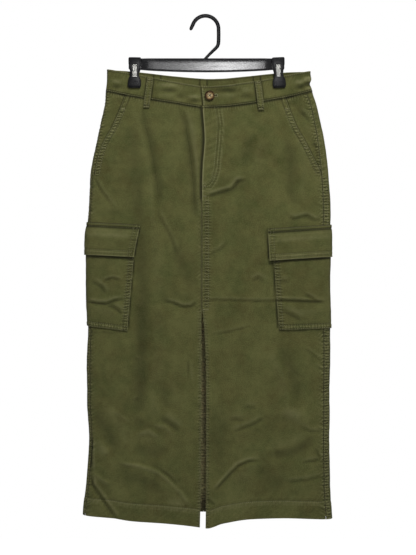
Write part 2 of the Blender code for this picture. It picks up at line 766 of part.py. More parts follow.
Window = namedtuple("Window", "width top foot near far")
WINDOW = Window(9.4, 95.0, 120.5, 1.0, 20.0)  # the opening in each jaw
# Half of the spring's middle line from the side, as (y, level), from its tip to the top.
SPRING = [(7.8, 119.6), (7.9, 110.0), (7.6, 101.5), (6.1, 96.5), (6.1, 82.2), (4.6, 80.4)]
SPRING_WIDTH = 8.4
SPRING_THICKNESS = 0.7


def outline_solid(name, outline, depth, collection, material=None):
    """A flat outline in the plane of the front view, as a solid of that depth about y = 0."""
    curve = bpy.data.curves.new(name, "CURVE")
    curve.dimensions, curve.fill_mode, curve.extrude = "2D", "BOTH", depth / 2 * MM
    spline = curve.splines.new("POLY")
    spline.points.add(len(outline) - 1)
    for point, (x, level) in zip(spline.points, outline):
        point.co = (x * MM, -level * MM, 0, 1)
    spline.use_cyclic_u = True
    flat = bpy.data.objects.new(name + "_outline", curve)
    mesh = bpy.data.meshes.new_from_object(flat)
    bpy.data.objects.remove(flat)
    bm = bmesh.new()
    bm.from_mesh(mesh)
    bmesh.ops.remove_doubles(bm, verts=bm.verts, dist=0.00001)
    bmesh.ops.rotate(bm, verts=bm.verts, cent=(0, 0, 0), matrix=Matrix.Rotation(math.radians(90), 3, "X"))
    bmesh.ops.recalc_face_normals(bm, faces=bm.faces)
    bm.to_mesh(mesh)
    bm.free()
    return add_object(name, mesh, collection, material)


def rail_outline(inset):
    """The rail from the front, with its lower edge bowed down in the middle."""
    half, top = BAR_HALF_LENGTH + 1 - inset, BAR_TOP + inset
    across = np.linspace(1, -1, 13)
    foot = [(BAR_MIDDLE + half * s, BAR_FOOT - inset + BAR_BELLY * (1 - s * s)) for s in across]
    return [(BAR_MIDDLE - half, top), (BAR_MIDDLE + half, top)] + foot


def box(name, low, high, collection, material=None):
    """A box between two corners given as x, y and z, in mm."""
    bm = bmesh.new()
    bmesh.ops.create_cube(bm, size=1)
    for vertex in bm.verts:
        vertex.co = [(lo + (hi - lo) * (c + 0.5)) * MM for lo, hi, c in zip(low, high, vertex.co)]
    mesh = bpy.data.meshes.new(name)
    bm.to_mesh(mesh)
    bm.free()
    return add_object(name, mesh, collection, material)


def make_hanger_bar(collection, cutters, black):
    """A rail of I section, hollowed on both faces, with a block at each end for a clip."""
    bar = outline_solid("hanger_bar", rail_outline(0), BAR_DEPTH, collection, black)
    for sign, face in ((-1, "front"), (1, "back")):
        hollow = outline_solid(f"rail_hollow_{face}", rail_outline(FLANGE), BAR_DEPTH - WEB, cutters)
        hollow.location.y = sign * BAR_DEPTH / 2 * MM
        cut(bar, hollow)
    for side, middle in CLIP_X.items():
        block = box(f"end_block_{side}", (middle - BLOCK[0] / 2, -BLOCK[1] / 2, -BLOCK_FOOT),
                    (middle + BLOCK[0] / 2, BLOCK[1] / 2, -BLOCK_TOP), cutters)
        cut(bar, block, "UNION")
    x, level = HOOK_FOOT
    socket = box("hook_socket", (x - SOCKET_RIGHT, -SOCKET_HALF_DEPTH, -level - SOCKET_BELOW),
                 (x + SOCKET_LEFT, SOCKET_HALF_DEPTH, -BAR_TOP + SOCKET_ABOVE), cutters)
    cut(bar, socket)


def hook_path():
    """The middle line of the hook: over the rail, down the far side, and back to the bar."""
    centre = (HOOK_CENTRE_X, -(HOOK_RADIUS - HOOK_THICKNESS / 2))
    turn = np.radians(np.linspace(184, 0, 24))
    arc = [(centre[0] + HOOK_RADIUS * math.cos(a), centre[1] + HOOK_RADIUS * math.sin(a)) for a in turn]
    bend = [(27.3, -34.0), (27.2, -46.0), (26.5, -53.0), (24.4, -HOOK_BEND_LEVEL - 2.0), (20.6, -62.0)]
    foot = [(9.0, -73.4), (-0.4, -83.0), (HOOK_FOOT[0], -HOOK_FOOT[1])]
    return arc + bend + foot


def make_hook(collection, black):
    curve = bpy.data.curves.new("hanger_hook", "CURVE")
    curve.dimensions, curve.bevel_depth, curve.bevel_resolution = "3D", HOOK_THICKNESS / 2 * MM, 2
    curve.use_fill_caps = True
    spline = curve.splines.new("POLY")
    path = hook_path()
    spline.points.add(len(path) - 1)
    for point, (x, z) in zip(spline.points, path):
        point.co = (x * MM, 0, z * MM, 1)
    spline.points[0].radius = HOOK_TIP_RADIUS
    for index in (-3, -2, -1):
        spline.points[index].radius = HOOK_STEM_RADIUS
    add_object("hanger_hook", curve, collection, black)


def make_jaw(side, face, collection, cutters, black):
    """One jaw of a clip: a plate with a window for the spring. Its inner face presses on the
    band at the pad, and is clear of the end block above it."""
    sign = -1 if face == "front" else 1
    name = f"clip_{side}_{face}_jaw"
    outer, inner = (np.zeros((JAW_COLUMNS + 1, len(JAW), 3)) for _ in range(2))
    for i, across in enumerate(np.linspace(-1, 1, JAW_COLUMNS + 1)):
        for j, row in enumerate(JAW):
            x = CLIP_X[side] + across * row.half_width
            depth = row.face - JAW_CROWN * abs(across) ** 4
            back = np.interp(row.level, [LEAN_FROM, PAD_TOP], [BLOCK[1] / 2 + BLOCK_CLEAR, PAD_BACK])
            outer[i, j] = (x * MM, sign * depth * MM, -row.level * MM)
            inner[i, j] = (x * MM, sign * min(back, depth - JAW_LEAST) * MM, -row.level * MM)
    jaw = slab(name, outer, inner, collection, black)
    low, high = sorted([sign * WINDOW.near, sign * WINDOW.far])
    window = box(name + "_window", (CLIP_X[side] - WINDOW.width / 2, low, -WINDOW.foot),
                 (CLIP_X[side] + WINDOW.width / 2, high, -WINDOW.top), cutters)
    cut(jaw, window)


def make_spring(side, collection, steel):
    """The steel strip that closes a clip: over the end block, behind the tops of the jaws, and
    forward into their windows."""
    path = [(-y, level) for y, level in SPRING] + [(y, level) for y, level in reversed(SPRING)]
    thick = SPRING_THICKNESS
    outer, inner = (np.zeros((2, len(path), 3)) for _ in range(2))
    for i, across in enumerate((-0.5, 0.5)):
        for j, (y, level) in enumerate(path):
            x = CLIP_X[side] + across * SPRING_WIDTH
            outer[i, j] = (x * MM, y * MM, -level * MM)
            over_top = abs(y) < BLOCK[1] / 2
            inner[i, j] = (x * MM, (y - math.copysign(thick, y)) * MM, (-level - thick * over_top) * MM)
    slab(f"clip_{side}_spring", outer, inner, collection, steel)


def make_hanger(collection, cutters, black, steel):
    make_hanger_bar(collection, cutters, black)
    make_hook(collection, black)
    for side in CLIP_X:
        for face in ("front", "back"):
            make_jaw(side, face, collection, cutters, black)
        make_spring(side, collection, steel)


# ---------------------------------------------------------------- the whole part


def main():
    for thing in list(bpy.data.objects):
        bpy.data.objects.remove(thing)
    parts = make_collection("cargo_skirt_on_hanger", shown=True)
    cutters = make_collection("cutters", shown=False)
    twill = make_material("olive_twill", OLIVE, 0.9)
    horn = make_material("horn_plastic", HORN, 0.35)
    black = make_material("black_plastic", BLACK, 0.35)
    steel = make_material("spring_steel", STEEL, 0.3, 1.0)
    make_front_panels(parts, twill)
    make_back_panels(parts, twill)
    make_hip_facings(parts, twill)
    make_waistband(parts, twill)
    make_cargo_pockets(parts, twill)
    make_belt_loops(parts, twill)
    make_zip(parts, twill)
    make_button(parts, cutters, horn)
    make_hanger(parts, cutters, black, steel)


main()
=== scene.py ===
# %% [markdown]
# # A cargo utility skirt on a clip hanger
# The skirt hangs from a plastic clip hanger. Everything here is laid out in the frame of the packed
# solid model: the origin is inside the top of the hook, +Z is up, and the front faces -Y. The
# script loads that model first, then makes each piece of cloth, thread and plastic in its place.

# %% Load the solid model
import math
from collections import namedtuple
from functools import partial

import bpy
import numpy as np
from mathutils import Matrix, Vector


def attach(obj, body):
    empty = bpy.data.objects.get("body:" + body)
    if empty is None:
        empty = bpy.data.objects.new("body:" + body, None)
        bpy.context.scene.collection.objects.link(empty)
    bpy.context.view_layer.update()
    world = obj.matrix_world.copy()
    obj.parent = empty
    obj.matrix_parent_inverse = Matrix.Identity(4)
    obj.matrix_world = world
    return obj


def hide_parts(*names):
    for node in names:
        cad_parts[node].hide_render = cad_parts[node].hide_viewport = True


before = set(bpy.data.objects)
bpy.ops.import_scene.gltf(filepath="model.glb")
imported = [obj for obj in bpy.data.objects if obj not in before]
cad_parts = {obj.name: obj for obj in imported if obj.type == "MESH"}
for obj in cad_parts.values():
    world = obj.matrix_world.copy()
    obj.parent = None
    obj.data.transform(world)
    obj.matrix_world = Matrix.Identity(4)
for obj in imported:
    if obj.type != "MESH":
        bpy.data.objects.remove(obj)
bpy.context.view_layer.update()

MM = 0.001

# %% [markdown]
# ## The form of the hanging cloth
# Hung by its waistband, a skirt is a flattened tube. A place on the cloth is a pair (w, level):
# level is how far it is below the rail in millimetres, and w goes once round, from 0 at the fold
# on the wearer's right, across the front to 0.5 at the other fold, and back across the back to 1.
# Every piece of cloth is a grid of such places, so pieces that are sewn together always meet, and
# one that lies on another is the same surface moved out. The tables are the garment's own sizes.

# %% Cloth thicknesses and the level sections
CLOTH, BAND, FLAP, LOOP = 1.5, 2.4, 2.2, 2.0  # thicknesses: one layer, waistband, flap, belt loop
SEAM_GAP, LAYER_GAP, BAND_OUT = 0.3, 0.7, 0.5
TUCKED = 2.5  # how far the panels go up inside the waistband
POCKET_OUT = LAYER_GAP + CLOTH
LOOP_OUT = BAND_OUT + LAYER_GAP + LOOP

CLIP_X = {"right": -140.0, "left": 146.0}
CLIP_LEVEL, PINCH, PINCH_REACH = 131.0, 2.9, (45.0, 60.0)


def table(names, *rows):
    """A table as named columns. The others are read at places along its first one."""
    return dict(zip(names.split(), np.array(rows, float).T))


SECTIONS = table(
    "level left right front back radius",
    (90, -195, 210.5, 6, 6, 4.6),
    (128, -196, 210.5, 6.5, 6.2, 5),
    (148, -198, 213.5, 7, 6.6, 5.5),
    (173, -200, 222, 7.6, 7.2, 6.5),
    (205, -207, 230, 8.4, 8, 7.5),
    (253, -217, 240, 9.5, 9, 8.5),
    (317, -229, 248, 10.8, 10.3, 9.5),
    (381, -233, 250.5, 12, 11.5, 10),
    (461, -236, 249.5, 13.2, 12.8, 10.5),
    (573, -236, 249.5, 14.6, 14.6, 11),
    (655, -235, 250, 15.6, 15.8, 11.5),
    (765, -236, 250, 17, 17.4, 12),
    (845, -233, 249, 18, 18.4, 12),
    (925, -237, 250, 19, 19.6, 12.5),
    (1000, -244, 254, 20, 20.6, 13),
    (1040, -246, 256, 20.5, 21, 13),
)

# %% The edges that run round the skirt, and the seams that run down it
EDGES = table(
    "across front_top back_top front_seam back_seam front_hem back_hem",
    (-1.0, 104.0, 104.0, 148, 148, 993, 993),
    (-0.8, 110.5, 107.0, 156, 152, 996.5, 994),
    (-0.6, 118.5, 111.0, 163.5, 156, 1003.5, 994),
    (-0.35, 128.5, 116.5, 172, 161, 1007.5, 993),
    (-0.06, 137.5, 121.5, 180.5, 166, 1015, 993),
    (0.0, 138.0, 122.0, 180.5, 166.5, 1017, 993),
    (0.12, 137.0, 121.5, 179.5, 166, 1008, 993.5),
    (0.35, 131.0, 117.5, 174, 162, 999.5, 995),
    (0.6, 122.5, 112.5, 165.5, 157.5, 997.5, 997),
    (0.8, 114.5, 109.0, 158, 153.5, 999, 999),
    (1.0, 107.5, 107.5, 148.5, 148.5, 1001, 1001),
)
SEAMS = table(
    "level right_side left_side front_right front_left",
    (140, 3.0, 15.0, -6.5, -6.0),
    (180, 4.0, 16.0, -5.5, -5.0),
    (245, 6.0, 19.0, -1.5, -1.0),
    (300, 8.0, 21.0, -5.5, -5.0),
    (340, 9.0, 21.0, -6.6, -6.2),
    (450, 9.0, 21.0, -6.2, -5.8),
    (573, 11.0, 21.0, -6.4, -6.0),
    (625, 13.0, 21.0, -7.0, -1.5),
    (710, 14.0, 21.0, -7.0, 1.8),
    (825, 14.0, 21.0, -7.4, 2.2),
    (930, 13.0, 21.5, -8.0, 2.0),
    (1040, 13.0, 22.0, -10.6, 0.6),
)
HIP_POCKETS = table(
    "level right left",
    (140, -153, 154),
    (189, -172, 171),
    (221, -186, 184),
    (247, -201, 199),
    (278, -213, 215),
    (310, -220, 231),
)
BACK_SEAM_X, BAND_LEVEL, SLIT_TOP, FLY_FOOT, HIP_POCKET_END = -3.0, 160.0, 578.0, 366.0, 316.0


# %% Smooth curves
def smooth(rows, name, at):
    """A column of a table at other places, on a smooth curve that never overshoots its rows."""
    known, values = next(iter(rows.values())), rows[name]
    chords = np.diff(values) / np.diff(known)
    before, after = chords[:-1], chords[1:]
    same_way = before * after > 0
    middle = np.where(same_way, 2 * before * after / np.where(same_way, before + after, 1.0), 0.0)
    slopes = np.concatenate([chords[:1], middle, chords[-1:]])
    at = np.clip(np.asarray(at, float), known[0], known[-1])
    i = np.clip(np.searchsorted(known, at, side="right") - 1, 0, len(known) - 2)
    step = known[i + 1] - known[i]
    t = (at - known[i]) / step
    rise = t * t * (3 - 2 * t)
    leaving, arriving = t * (1 - t) ** 2 * slopes[i], -t * t * (1 - t) * slopes[i + 1]
    return values[i] * (1 - rise) + values[i + 1] * rise + step * (leaving + arriving)


def ease(x):
    """0 below 0, 1 above 1, and a smooth rise between."""
    x = np.clip(x, 0, 1)
    return x * x * (3 - 2 * x)


def bell(distance, width):
    """1 on a line, falling away smoothly to nothing about two widths from it."""
    return np.exp(-((distance / width) ** 2))


def lengths_along(points):
    """How far along a line of points each of them is."""
    return np.concatenate([[0], np.cumsum(np.linalg.norm(np.diff(points, axis=0), axis=1))])


# %% Build the form as a look-up grid
LEVEL_STEP = 6.0
LEVELS = np.arange(90.0, 1040.1, LEVEL_STEP)
HALF = 480  # samples across the front, and again across the back
EVEN = np.linspace(0.0, 1.0, HALF + 1)
X_GRID = np.arange(-262.0, 272.0, 1.0)


def pinch(x, level):
    """1 where a clip holds the waistband, falling to 0 away from it."""
    down = (level - CLIP_LEVEL) / PINCH_REACH[1]
    return sum(1 / (1 + (((x - middle) / PINCH_REACH[0]) ** 2 + down**2) ** 2) for middle in CLIP_X.values())


def half_section(level, face):
    """x and bulge at even steps along one face of a level section, and that face's length."""
    left, right, depth, radius = (smooth(SECTIONS, name, level) for name in ("left", "right", face, "radius"))
    half_width = (right - left) / 2
    across = np.sin(np.linspace(-math.pi / 2, math.pi / 2, 1441))
    x = (left + right) / 2 + half_width * across
    bulge = depth * np.sqrt(np.clip(1 - np.abs(across) ** (2 * radius * half_width / depth**2), 0, None))
    bulge = bulge * (1 - pinch(x, level) * (1 - PINCH / depth))
    length = lengths_along(np.stack([x, bulge], axis=1))
    even = EVEN * length[-1]
    return np.interp(even, length, x), np.interp(even, length, bulge), length[-1]


FORM_X, FORM_Y = np.zeros((2, len(LEVELS), 2 * HALF + 1))
FACE_LENGTH = {face: np.zeros(len(LEVELS)) for face in ("front", "back")}
W_AT_X = {face: np.zeros((len(LEVELS), len(X_GRID))) for face in ("front", "back")}
for row, level in enumerate(LEVELS):
    near, near_bulge, FACE_LENGTH["front"][row] = half_section(level, "front")
    far, far_bulge, FACE_LENGTH["back"][row] = half_section(level, "back")
    FORM_X[row] = np.concatenate([near, far[-2::-1]])
    FORM_Y[row] = np.concatenate([-near_bulge, far_bulge[-2::-1]])
    W_AT_X["front"][row] = np.interp(X_GRID, near, EVEN / 2)
    W_AT_X["back"][row] = np.interp(X_GRID, far, 1 - EVEN / 2)
print("form:", len(LEVELS), "level sections, waist", round(2 * FACE_LENGTH["front"][8]), "mm round")


# %% Places on the form
def between(grid, level, col):
    """A grid's value between its levels and columns."""
    row = np.clip((np.asarray(level, float) - LEVELS[0]) / LEVEL_STEP, 0, grid.shape[0] - 1.001)
    row, col = np.broadcast_arrays(row, np.clip(np.asarray(col, float), 0, grid.shape[1] - 1.001))
    r, c = row.astype(int), col.astype(int)
    fr, fc = row - r, col - c
    upper = grid[r, c] * (1 - fc) + grid[r, c + 1] * fc
    lower = grid[r + 1, c] * (1 - fc) + grid[r + 1, c + 1] * fc
    return upper * (1 - fr) + lower * fr


def plain(w, level):
    """Points of the plain form, in mm."""
    col = (np.asarray(w, float) % 1.0) * 2 * HALF
    x, y = between(FORM_X, level, col), between(FORM_Y, level, col)
    return np.stack([x, y, -np.broadcast_to(np.asarray(level, float), x.shape)], axis=-1)


def outward(w, level):
    """Unit normals of the plain form, pointing out of the skirt."""
    w, level = np.broadcast_arrays(np.asarray(w, float), np.asarray(level, float))
    along = plain(w + 0.002, level) - plain(w - 0.002, level)
    up = plain(w, level - LEVEL_STEP) - plain(w, level + LEVEL_STEP)
    normal = np.cross(along, up)
    return normal / np.linalg.norm(normal, axis=-1, keepdims=True)


def w_at(x, level, face):
    """w of the place on that face, "front" or "back", with that x."""
    return between(W_AT_X[face], level, np.asarray(x, float) - X_GRID[0])


def on_face(face, w):
    return ((w % 1.0) > 0.5) == (face == "back")


def mm_to_w(distance, level):
    """A distance along the cloth, in mm, as a step of w."""
    return distance / (2 * np.interp(level, LEVELS, FACE_LENGTH["front"]))


def fold_w(side, distance, level):
    """w of the place that far in front of a side's fold along the cloth, or behind it if negative."""
    front, back = (np.interp(level, LEVELS, FACE_LENGTH[face]) for face in ("front", "back"))
    step = distance / (2 * np.where(np.asarray(distance) > 0, front, back))
    return step if side == "right" else 0.5 - step


EDGE_READ_AT = {"top": 120.0, "seam": 170.0, "hem": 1000.0}  # the level whose width each line is read on


def edge_level(line, w):
    """The level of an edge line, "top", "seam" or "hem", at w."""
    level = EDGE_READ_AT[line]
    low, high = smooth(SECTIONS, "left", level), smooth(SECTIONS, "right", level)
    across = (plain(w, np.full(np.shape(w), level))[..., 0] - (low + high) / 2) * 2 / (high - low)
    front, back = smooth(EDGES, "front_" + line, across), smooth(EDGES, "back_" + line, across)
    return np.where((np.asarray(w) % 1.0) > 0.5, back, front)


band_top, waist_seam, hem_edge = (partial(edge_level, line) for line in EDGE_READ_AT)


def panel_top(w):
    return waist_seam(w) - TUCKED


def side_seam(side, level):
    return fold_w(side, smooth(SEAMS, side + "_side", level), level)


def front_edge(side, level, offset=0.0):
    return w_at(smooth(SEAMS, "front_" + side, level) + offset, level, "front")


def hip_opening(side, level):
    return w_at(smooth(HIP_POCKETS, side, level), level, "front")


def back_seam(level):
    return w_at(BACK_SEAM_X + 0 * np.asarray(level, float), level, "back")


print("front seam at level 400: w", round(float(front_edge("left", 400.0)), 4))

# %% [markdown]
# ## Folds, creases and rumples
# Heavy cotton keeps soft troughs where it was folded, sat in or pulled by a seam. A cloth
# simulation would give other folds than this garment has, so each one is listed: a line
# of points (x, level), how wide the fold is, and how far it dips or stands out. A crease has a
# lip on one side, because cloth that is pushed in on one side of a line is pushed out on the other.

# %% The large folds: x and level of both ends, width and height
FOLDS = {
    "front": [
        (-129, 190, -89, 400, 18, -3.5),
        (-89, 400, -22, 545, 18, -3.5),
        (-49, 200, -19, 440, 16, -3.0),
        (-133, 430, -126, 760, 26, -3.0),
        (-110, 566, -14, 572, 18, -3.0),
        (12, 356, 78, 331, 18, -3.5),
        (171, 255, 186, 380, 20, -3.0),
        (-222, 915, -160, 1012, 14, -3.0),
        (-190, 922, -70, 940, 26, -3.5),
        (-170, 876, -30, 972, 14, 3.0),
        (18, 760, 24, 930, 22, -3.5),
        (60, 930, 128, 850, 22, 3.0),
        (108, 890, 152, 955, 20, -3.5),
        (146, 772, 208, 812, 16, 3.0),
    ],
    "back": [
        (-100, 300, -120, 960, 30, -4.0),
        (62, 260, 84, 980, 32, -4.5),
        (0, 640, -20, 1000, 34, 4.0),
        (150, 640, 168, 1000, 30, 3.5),
    ],
}
FOLD_FADE = 4.0  # a fold comes to its full height over this many parts of its length

# %% The creases: width, height, lip, and the points of their line
# lip is the height of the ridge beside the trough, on the left of the line as it is drawn; a
# negative one puts it on the right.
CREASES = {
    "front": [
        # the long drag lines from the waist to the thigh, on the wearer's right
        (8, -2.0, -0.4, (-128, 181), (-114, 235), (-105, 277), (-96, 331), (-92, 383)),
        (4.5, -1.6, 0.7, (-94, 375), (-92, 397), (-67, 443), (-54, 481)),
        (11, -1.3, 0.4, (-66, 452), (-42, 512), (-18, 553)),
        (7, -2.4, 1.3, (-50, 183), (-38, 217), (-30, 267), (-24, 319), (-20, 405)),
        (15, -1.8, 0.6, (-146, 215), (-136, 330), (-128, 450), (-124, 570), (-126, 680), (-131, 800)),
        (13, -0.8, 0.2, (-129, 560), (-127, 680), (-131, 800)),
        (3.6, -1.7, 0.9, (-222, 319), (-208, 345), (-180, 383)),
        (8, -0.8, 0.3, (-204, 389), (-164, 391)),
        (5, -0.6, 0.4, (-196, 292), (-164, 293)),
        # the pulls across the thighs, level with the top of the slit
        (4.2, -3.0, 1.6, (-84, 566), (-62, 572), (-44, 579), (-28, 578), (-14, 567)),
        (3.6, -2.0, 0.8, (-8, 569), (22, 565), (114, 568), (150, 566), (244, 570)),
        (5, -1.6, 0.8, (140, 566), (190, 569), (244, 570)),
        (4, -1.8, 0.9, (196, 553), (222, 566)),
        (3.4, -1.5, 0.5, (8, 635), (46, 629), (92, 617)),
        # below the fly, and on the wearer's left thigh
        (5, -3.2, 2.0, (-2, 361), (29, 352), (55, 344), (66, 329), (84, 326)),
        (12, -0.9, 0.3, (46, 340), (84, 330)),
        (12, -1.8, 0.8, (163, 238), (176, 299), (166, 352)),
        (10, -1.6, 0.7, (166, 336), (184, 384)),
        (12, -1.6, 0.7, (94, 232), (74, 306)),
        (4.5, -2.2, 1.3, (160, 394), (176, 404), (202, 398), (220, 407), (236, 400)),
        (5, -1.3, 0.7, (6, 476), (30, 466), (46, 450)),
        (6, -1.7, 0.8, (92, 529), (106, 521), (120, 531)),
        (4, -0.8, 0.5, (104, 495), (134, 493)),
        # in the pocket facings
        (6, -1.9, 1.0, (184, 185), (212, 211)),
        (6, -1.8, 0.8, (214, 253), (224, 260)),
        (6, -1.8, 0.8, (-224, 250), (-212, 262)),
        # the lower skirt, on the wearer's right
        (11, -1.6, 0.6, (-90, 722), (-73, 788)),
        (13, -2.1, 0.9, (-226, 784), (-196, 822), (-168, 868)),
        (9.5, -1.5, 0.7, (-144, 805), (-120, 811)),
        (8, -2.1, 1.0, (-88, 798), (-50, 826)),
        (6, 2.0, -1.0, (-138, 833), (-113, 824), (-88, 839)),
        (6, 1.8, -0.9, (-107, 812), (-78, 815), (-58, 834)),
        (13, -2.0, 0.8, (-146, 861), (-104, 868), (-70, 859)),
        (4, 1.0, -0.5, (-188, 781), (-143, 809)),
        (10, 1.8, -0.8, (-220, 842), (-190, 874)),
        (4.6, 2.3, -1.3, (-173, 886), (-130, 893), (-93, 906), (-67, 926), (-50, 943), (-27, 974)),
        (3.5, -1.8, 0.8, (-96, 896), (-72, 914), (-48, 942)),
        (6, 1.6, -1.2, (-222, 908), (-186, 934)),
        (18, -1.0, 0.3, (-156, 908), (-112, 930), (-76, 934)),
        (11, 1.8, -0.3, (-80, 968), (-36, 970)),
        (4, -1.2, 0.6, (-142, 679), (-130, 686)),
        (4, -1.4, 0.6, (-142, 766), (-130, 758)),
        (4, -1.4, 0.8, (-34, 684), (-32, 726)),
        (5.0, -3.0, 1.8, (-227, 906), (-225, 932), (-200, 965), (-173, 1004)),
        (4.5, -2.8, 1.3, (-226, 836), (-228, 870), (-227, 908)),
        # the lower skirt, on the wearer's left
        (12, -1.7, -0.8, (149, 652), (173, 708), (187, 770)),
        (3.5, -0.9, 0.5, (153, 682), (176, 705), (200, 726)),
        (6, -1.3, 0.6, (76, 777), (104, 780)),
        (6, -1.4, 0.6, (44, 802), (80, 804)),
        (5.5, -1.8, 0.8, (52, 828), (96, 812), (120, 797)),
        (4.5, -2.8, 1.8, (17, 947), (46, 915), (66, 894), (86, 885), (110, 883)),
        (10, -2.7, 1.0, (122, 874), (172, 868), (199, 853), (218, 836)),
        (4.5, -1.7, 0.8, (186, 814), (208, 826), (236, 827)),
        (4.5, -1.9, 0.8, (190, 888), (232, 882)),
        (5, -1.5, 0.8, (158, 926), (199, 923), (238, 913)),
        (4, -1.6, 0.8, (219, 858), (229, 882)),
        (22, -0.8, 0.2, (28, 770), (22, 850), (32, 940)),
        (17, -0.8, 0.2, (102, 896), (134, 938), (166, 898)),
        (11, 1.6, -0.3, (150, 782), (196, 796)),
        (4, -1.8, 0.9, (2, 957), (20, 973)),
        (4, -1.2, 0.7, (196, 660), (236, 690)),
        # on the cargo pockets
        (4, -2.0, 1.0, (-204, 528), (-184, 522), (-164, 527)),
        (6, -1.6, 0.8, (-226, 525), (-206, 540), (-194, 555)),
        (4.5, -3.0, 1.6, (-238, 568), (-215, 572), (-196, 573), (-178, 566), (-158, 563)),
        (6, -2.2, 0.9, (-196, 574), (-180, 580), (-162, 595)),
        (6, -1.6, 0.8, (146, 529), (166, 529)),
        (7, -1.8, 0.9, (150, 585), (180, 599), (194, 607)),
    ],
    "back": [
        (9, -2.9, 1.4, (-150, 330), (-90, 352), (-30, 344)),
        (9, -2.7, 1.4, (30, 352), (88, 340), (150, 356)),
        (9, -2.4, 1.3, (-180, 410), (-120, 436), (-70, 430)),
        (8, -2.6, 1.3, (60, 452), (118, 436), (170, 448)),
        (6, -2.6, 1.4, (-206, 566), (-110, 572), (-30, 562), (60, 570), (214, 566)),
        (7, -2.2, 1.1, (-60, 640), (-10, 628), (52, 640)),
        (11, -2.4, 1.1, (96, 700), (120, 760), (112, 850)),
        (11, -2.4, 1.1, (-150, 690), (-138, 770), (-152, 860)),
        (9, 2.6, -1.3, (-70, 800), (-30, 838), (-40, 905)),
        (8, 2.7, -1.4, (40, 830), (90, 866), (150, 872)),
        (8, 2.9, -1.6, (-200, 880), (-150, 902), (-100, 948)),
        (8, -2.9, 1.4, (190, 900), (150, 940), (140, 985)),
        (9, -2.1, 1.0, (-40, 210), (-52, 270)),
        (9, -2.1, 1.0, (58, 214), (66, 280)),
    ],
}

# %% The relief that they give the cloth
SPREAD = 960.0  # one turn of w as a length, in mm, for patterns that follow the cloth
FOLD_MARGIN = 16.0  # a crease dies out this near a side fold


def to_fold(w):
    """How far a place is from the nearer side fold, in mm of cloth."""
    turn = w % 1.0
    return np.minimum(np.minimum(turn, 1 - turn), np.abs(turn - 0.5)) * SPREAD


def along_line(x, level, points):
    """The signed distance from a line of points, and how far along it each place is, 0 to 1."""
    points = np.array(points, float)
    before = lengths_along(points)
    best, signed, share = np.full(np.shape(x), 1e9), np.zeros(np.shape(x)), np.zeros(np.shape(x))
    for start, run, length, travelled in zip(points, np.diff(points, axis=0), np.diff(before), before):
        dx, dl = x - start[0], level - start[1]
        t = np.clip((dx * run[0] + dl * run[1]) / length**2, 0, 1)
        aside = np.hypot(dx - t * run[0], dl - t * run[1])
        nearer = aside < best
        best = np.where(nearer, aside, best)
        signed = np.where(nearer, aside * np.sign(dx * run[1] - dl * run[0]), signed)
        share = np.where(nearer, (travelled + t * length) / before[-1], share)
    return signed, share


def fold_relief(w, level):
    """How far the large folds lift the cloth, in mm."""
    at = plain(w, level)
    total = np.zeros(at.shape[:-1])
    for face, folds in FOLDS.items():
        for x_from, level_from, x_to, level_to, width, height in folds:
            run = np.array([x_to - x_from, level_to - level_from], float)
            offset = np.stack([at[..., 0] - x_from, -at[..., 2] - level_from], axis=-1)
            share = (offset @ run) / (run @ run)
            aside = np.linalg.norm(offset - np.clip(share, 0, 1)[..., None] * run, axis=-1)
            fade = np.clip(share * FOLD_FADE, 0, 1) * np.clip((1 - share) * FOLD_FADE, 0, 1)
            total += np.where(on_face(face, w), height * bell(aside, width) * fade, 0.0)
    return total


def near_creases(w, level):
    """Each crease, with the places near it, how far aside of it and along it they are, and its length."""
    x = plain(w, level)[..., 0]
    for face, creases in CREASES.items():
        for width, height, lip, *points in creases:
            near = on_face(face, w)
            for at, ends in ((x, [p[0] for p in points]), (level, [p[1] for p in points])):
                near = near & (at > min(ends) - 4 * width) & (at < max(ends) + 4 * width)
            if near.any():
                aside, share = along_line(x[near], level[near], points)
                yield width, height, lip, near, aside, share, lengths_along(points)[-1]


def taper(share, ends):
    """A crease comes to its full depth over this many parts of its length."""
    return ease(share * ends + 0.1) * ease((1 - share) * ends + 0.1)


def crease_relief(w, level):
    """How far the creases lift the cloth, in mm."""
    total = np.zeros(w.shape)
    for width, height, lip, near, aside, share, length in near_creases(w, level):
        if width < 7:
            width *= 0.8
        outward_way = math.copysign(1.0, -height)
        lip_side = math.copysign(1.0, lip) * outward_way
        ridge = 0.75 * abs(lip) * outward_way * bell(aside * lip_side - 1.7 * width, 1.1 * width)
        total[near] += (height * bell(aside, width) + ridge) * taper(share, max(2.6, length / 26.0))
    return total * ease(to_fold(w) / FOLD_MARGIN)


def crease_shadow(w, level):
    """Painted shade in the bottom of a sharp crease, and a painted highlight, below 0, along its lip."""
    dark, pale = np.zeros((2,) + w.shape)
    for width, height, lip, near, aside, share, _ in near_creases(w, level):
        if width > 9 or height > -1.2:
            continue
        ends = taper(share, 4)
        pale_mask = 0.16 * abs(lip) * bell(aside * math.copysign(1.0, lip) - 1.35 * width, 0.6 * width)
        dark[near] = np.maximum(dark[near], -0.27 * height * bell(aside, 0.4 * width) * ends)
        pale[near] = np.maximum(pale[near], pale_mask * ends)
    return dark - pale


# Waves that run every way: broad ones for the hang, and short ones for washed, rumpled cotton.
Waves = namedtuple("Waves", "count shortest longest height seed")
HANG = Waves(16, 90.0, 260.0, 0.7, 11)
RUMPLE = Waves(40, 13.0, 48.0, 0.11, 5)


def waves_relief(waves, w, level):
    """A sum of smooth waves that close on themselves once round the skirt."""
    draw = np.random.default_rng(waves.seed)
    height = np.zeros(np.shape(w))
    for _ in range(waves.count):
        period = math.exp(draw.uniform(math.log(waves.shortest), math.log(waves.longest)))
        heading, phase = draw.uniform(0, math.pi), draw.uniform(0, 2 * math.pi)
        rounds = round(SPREAD * math.cos(heading) / period)
        height += np.sin(2 * math.pi * (rounds * (w % 1.0) + math.sin(heading) * level / period) + phase)
    return waves.height * height / math.sqrt(waves.count / 2)


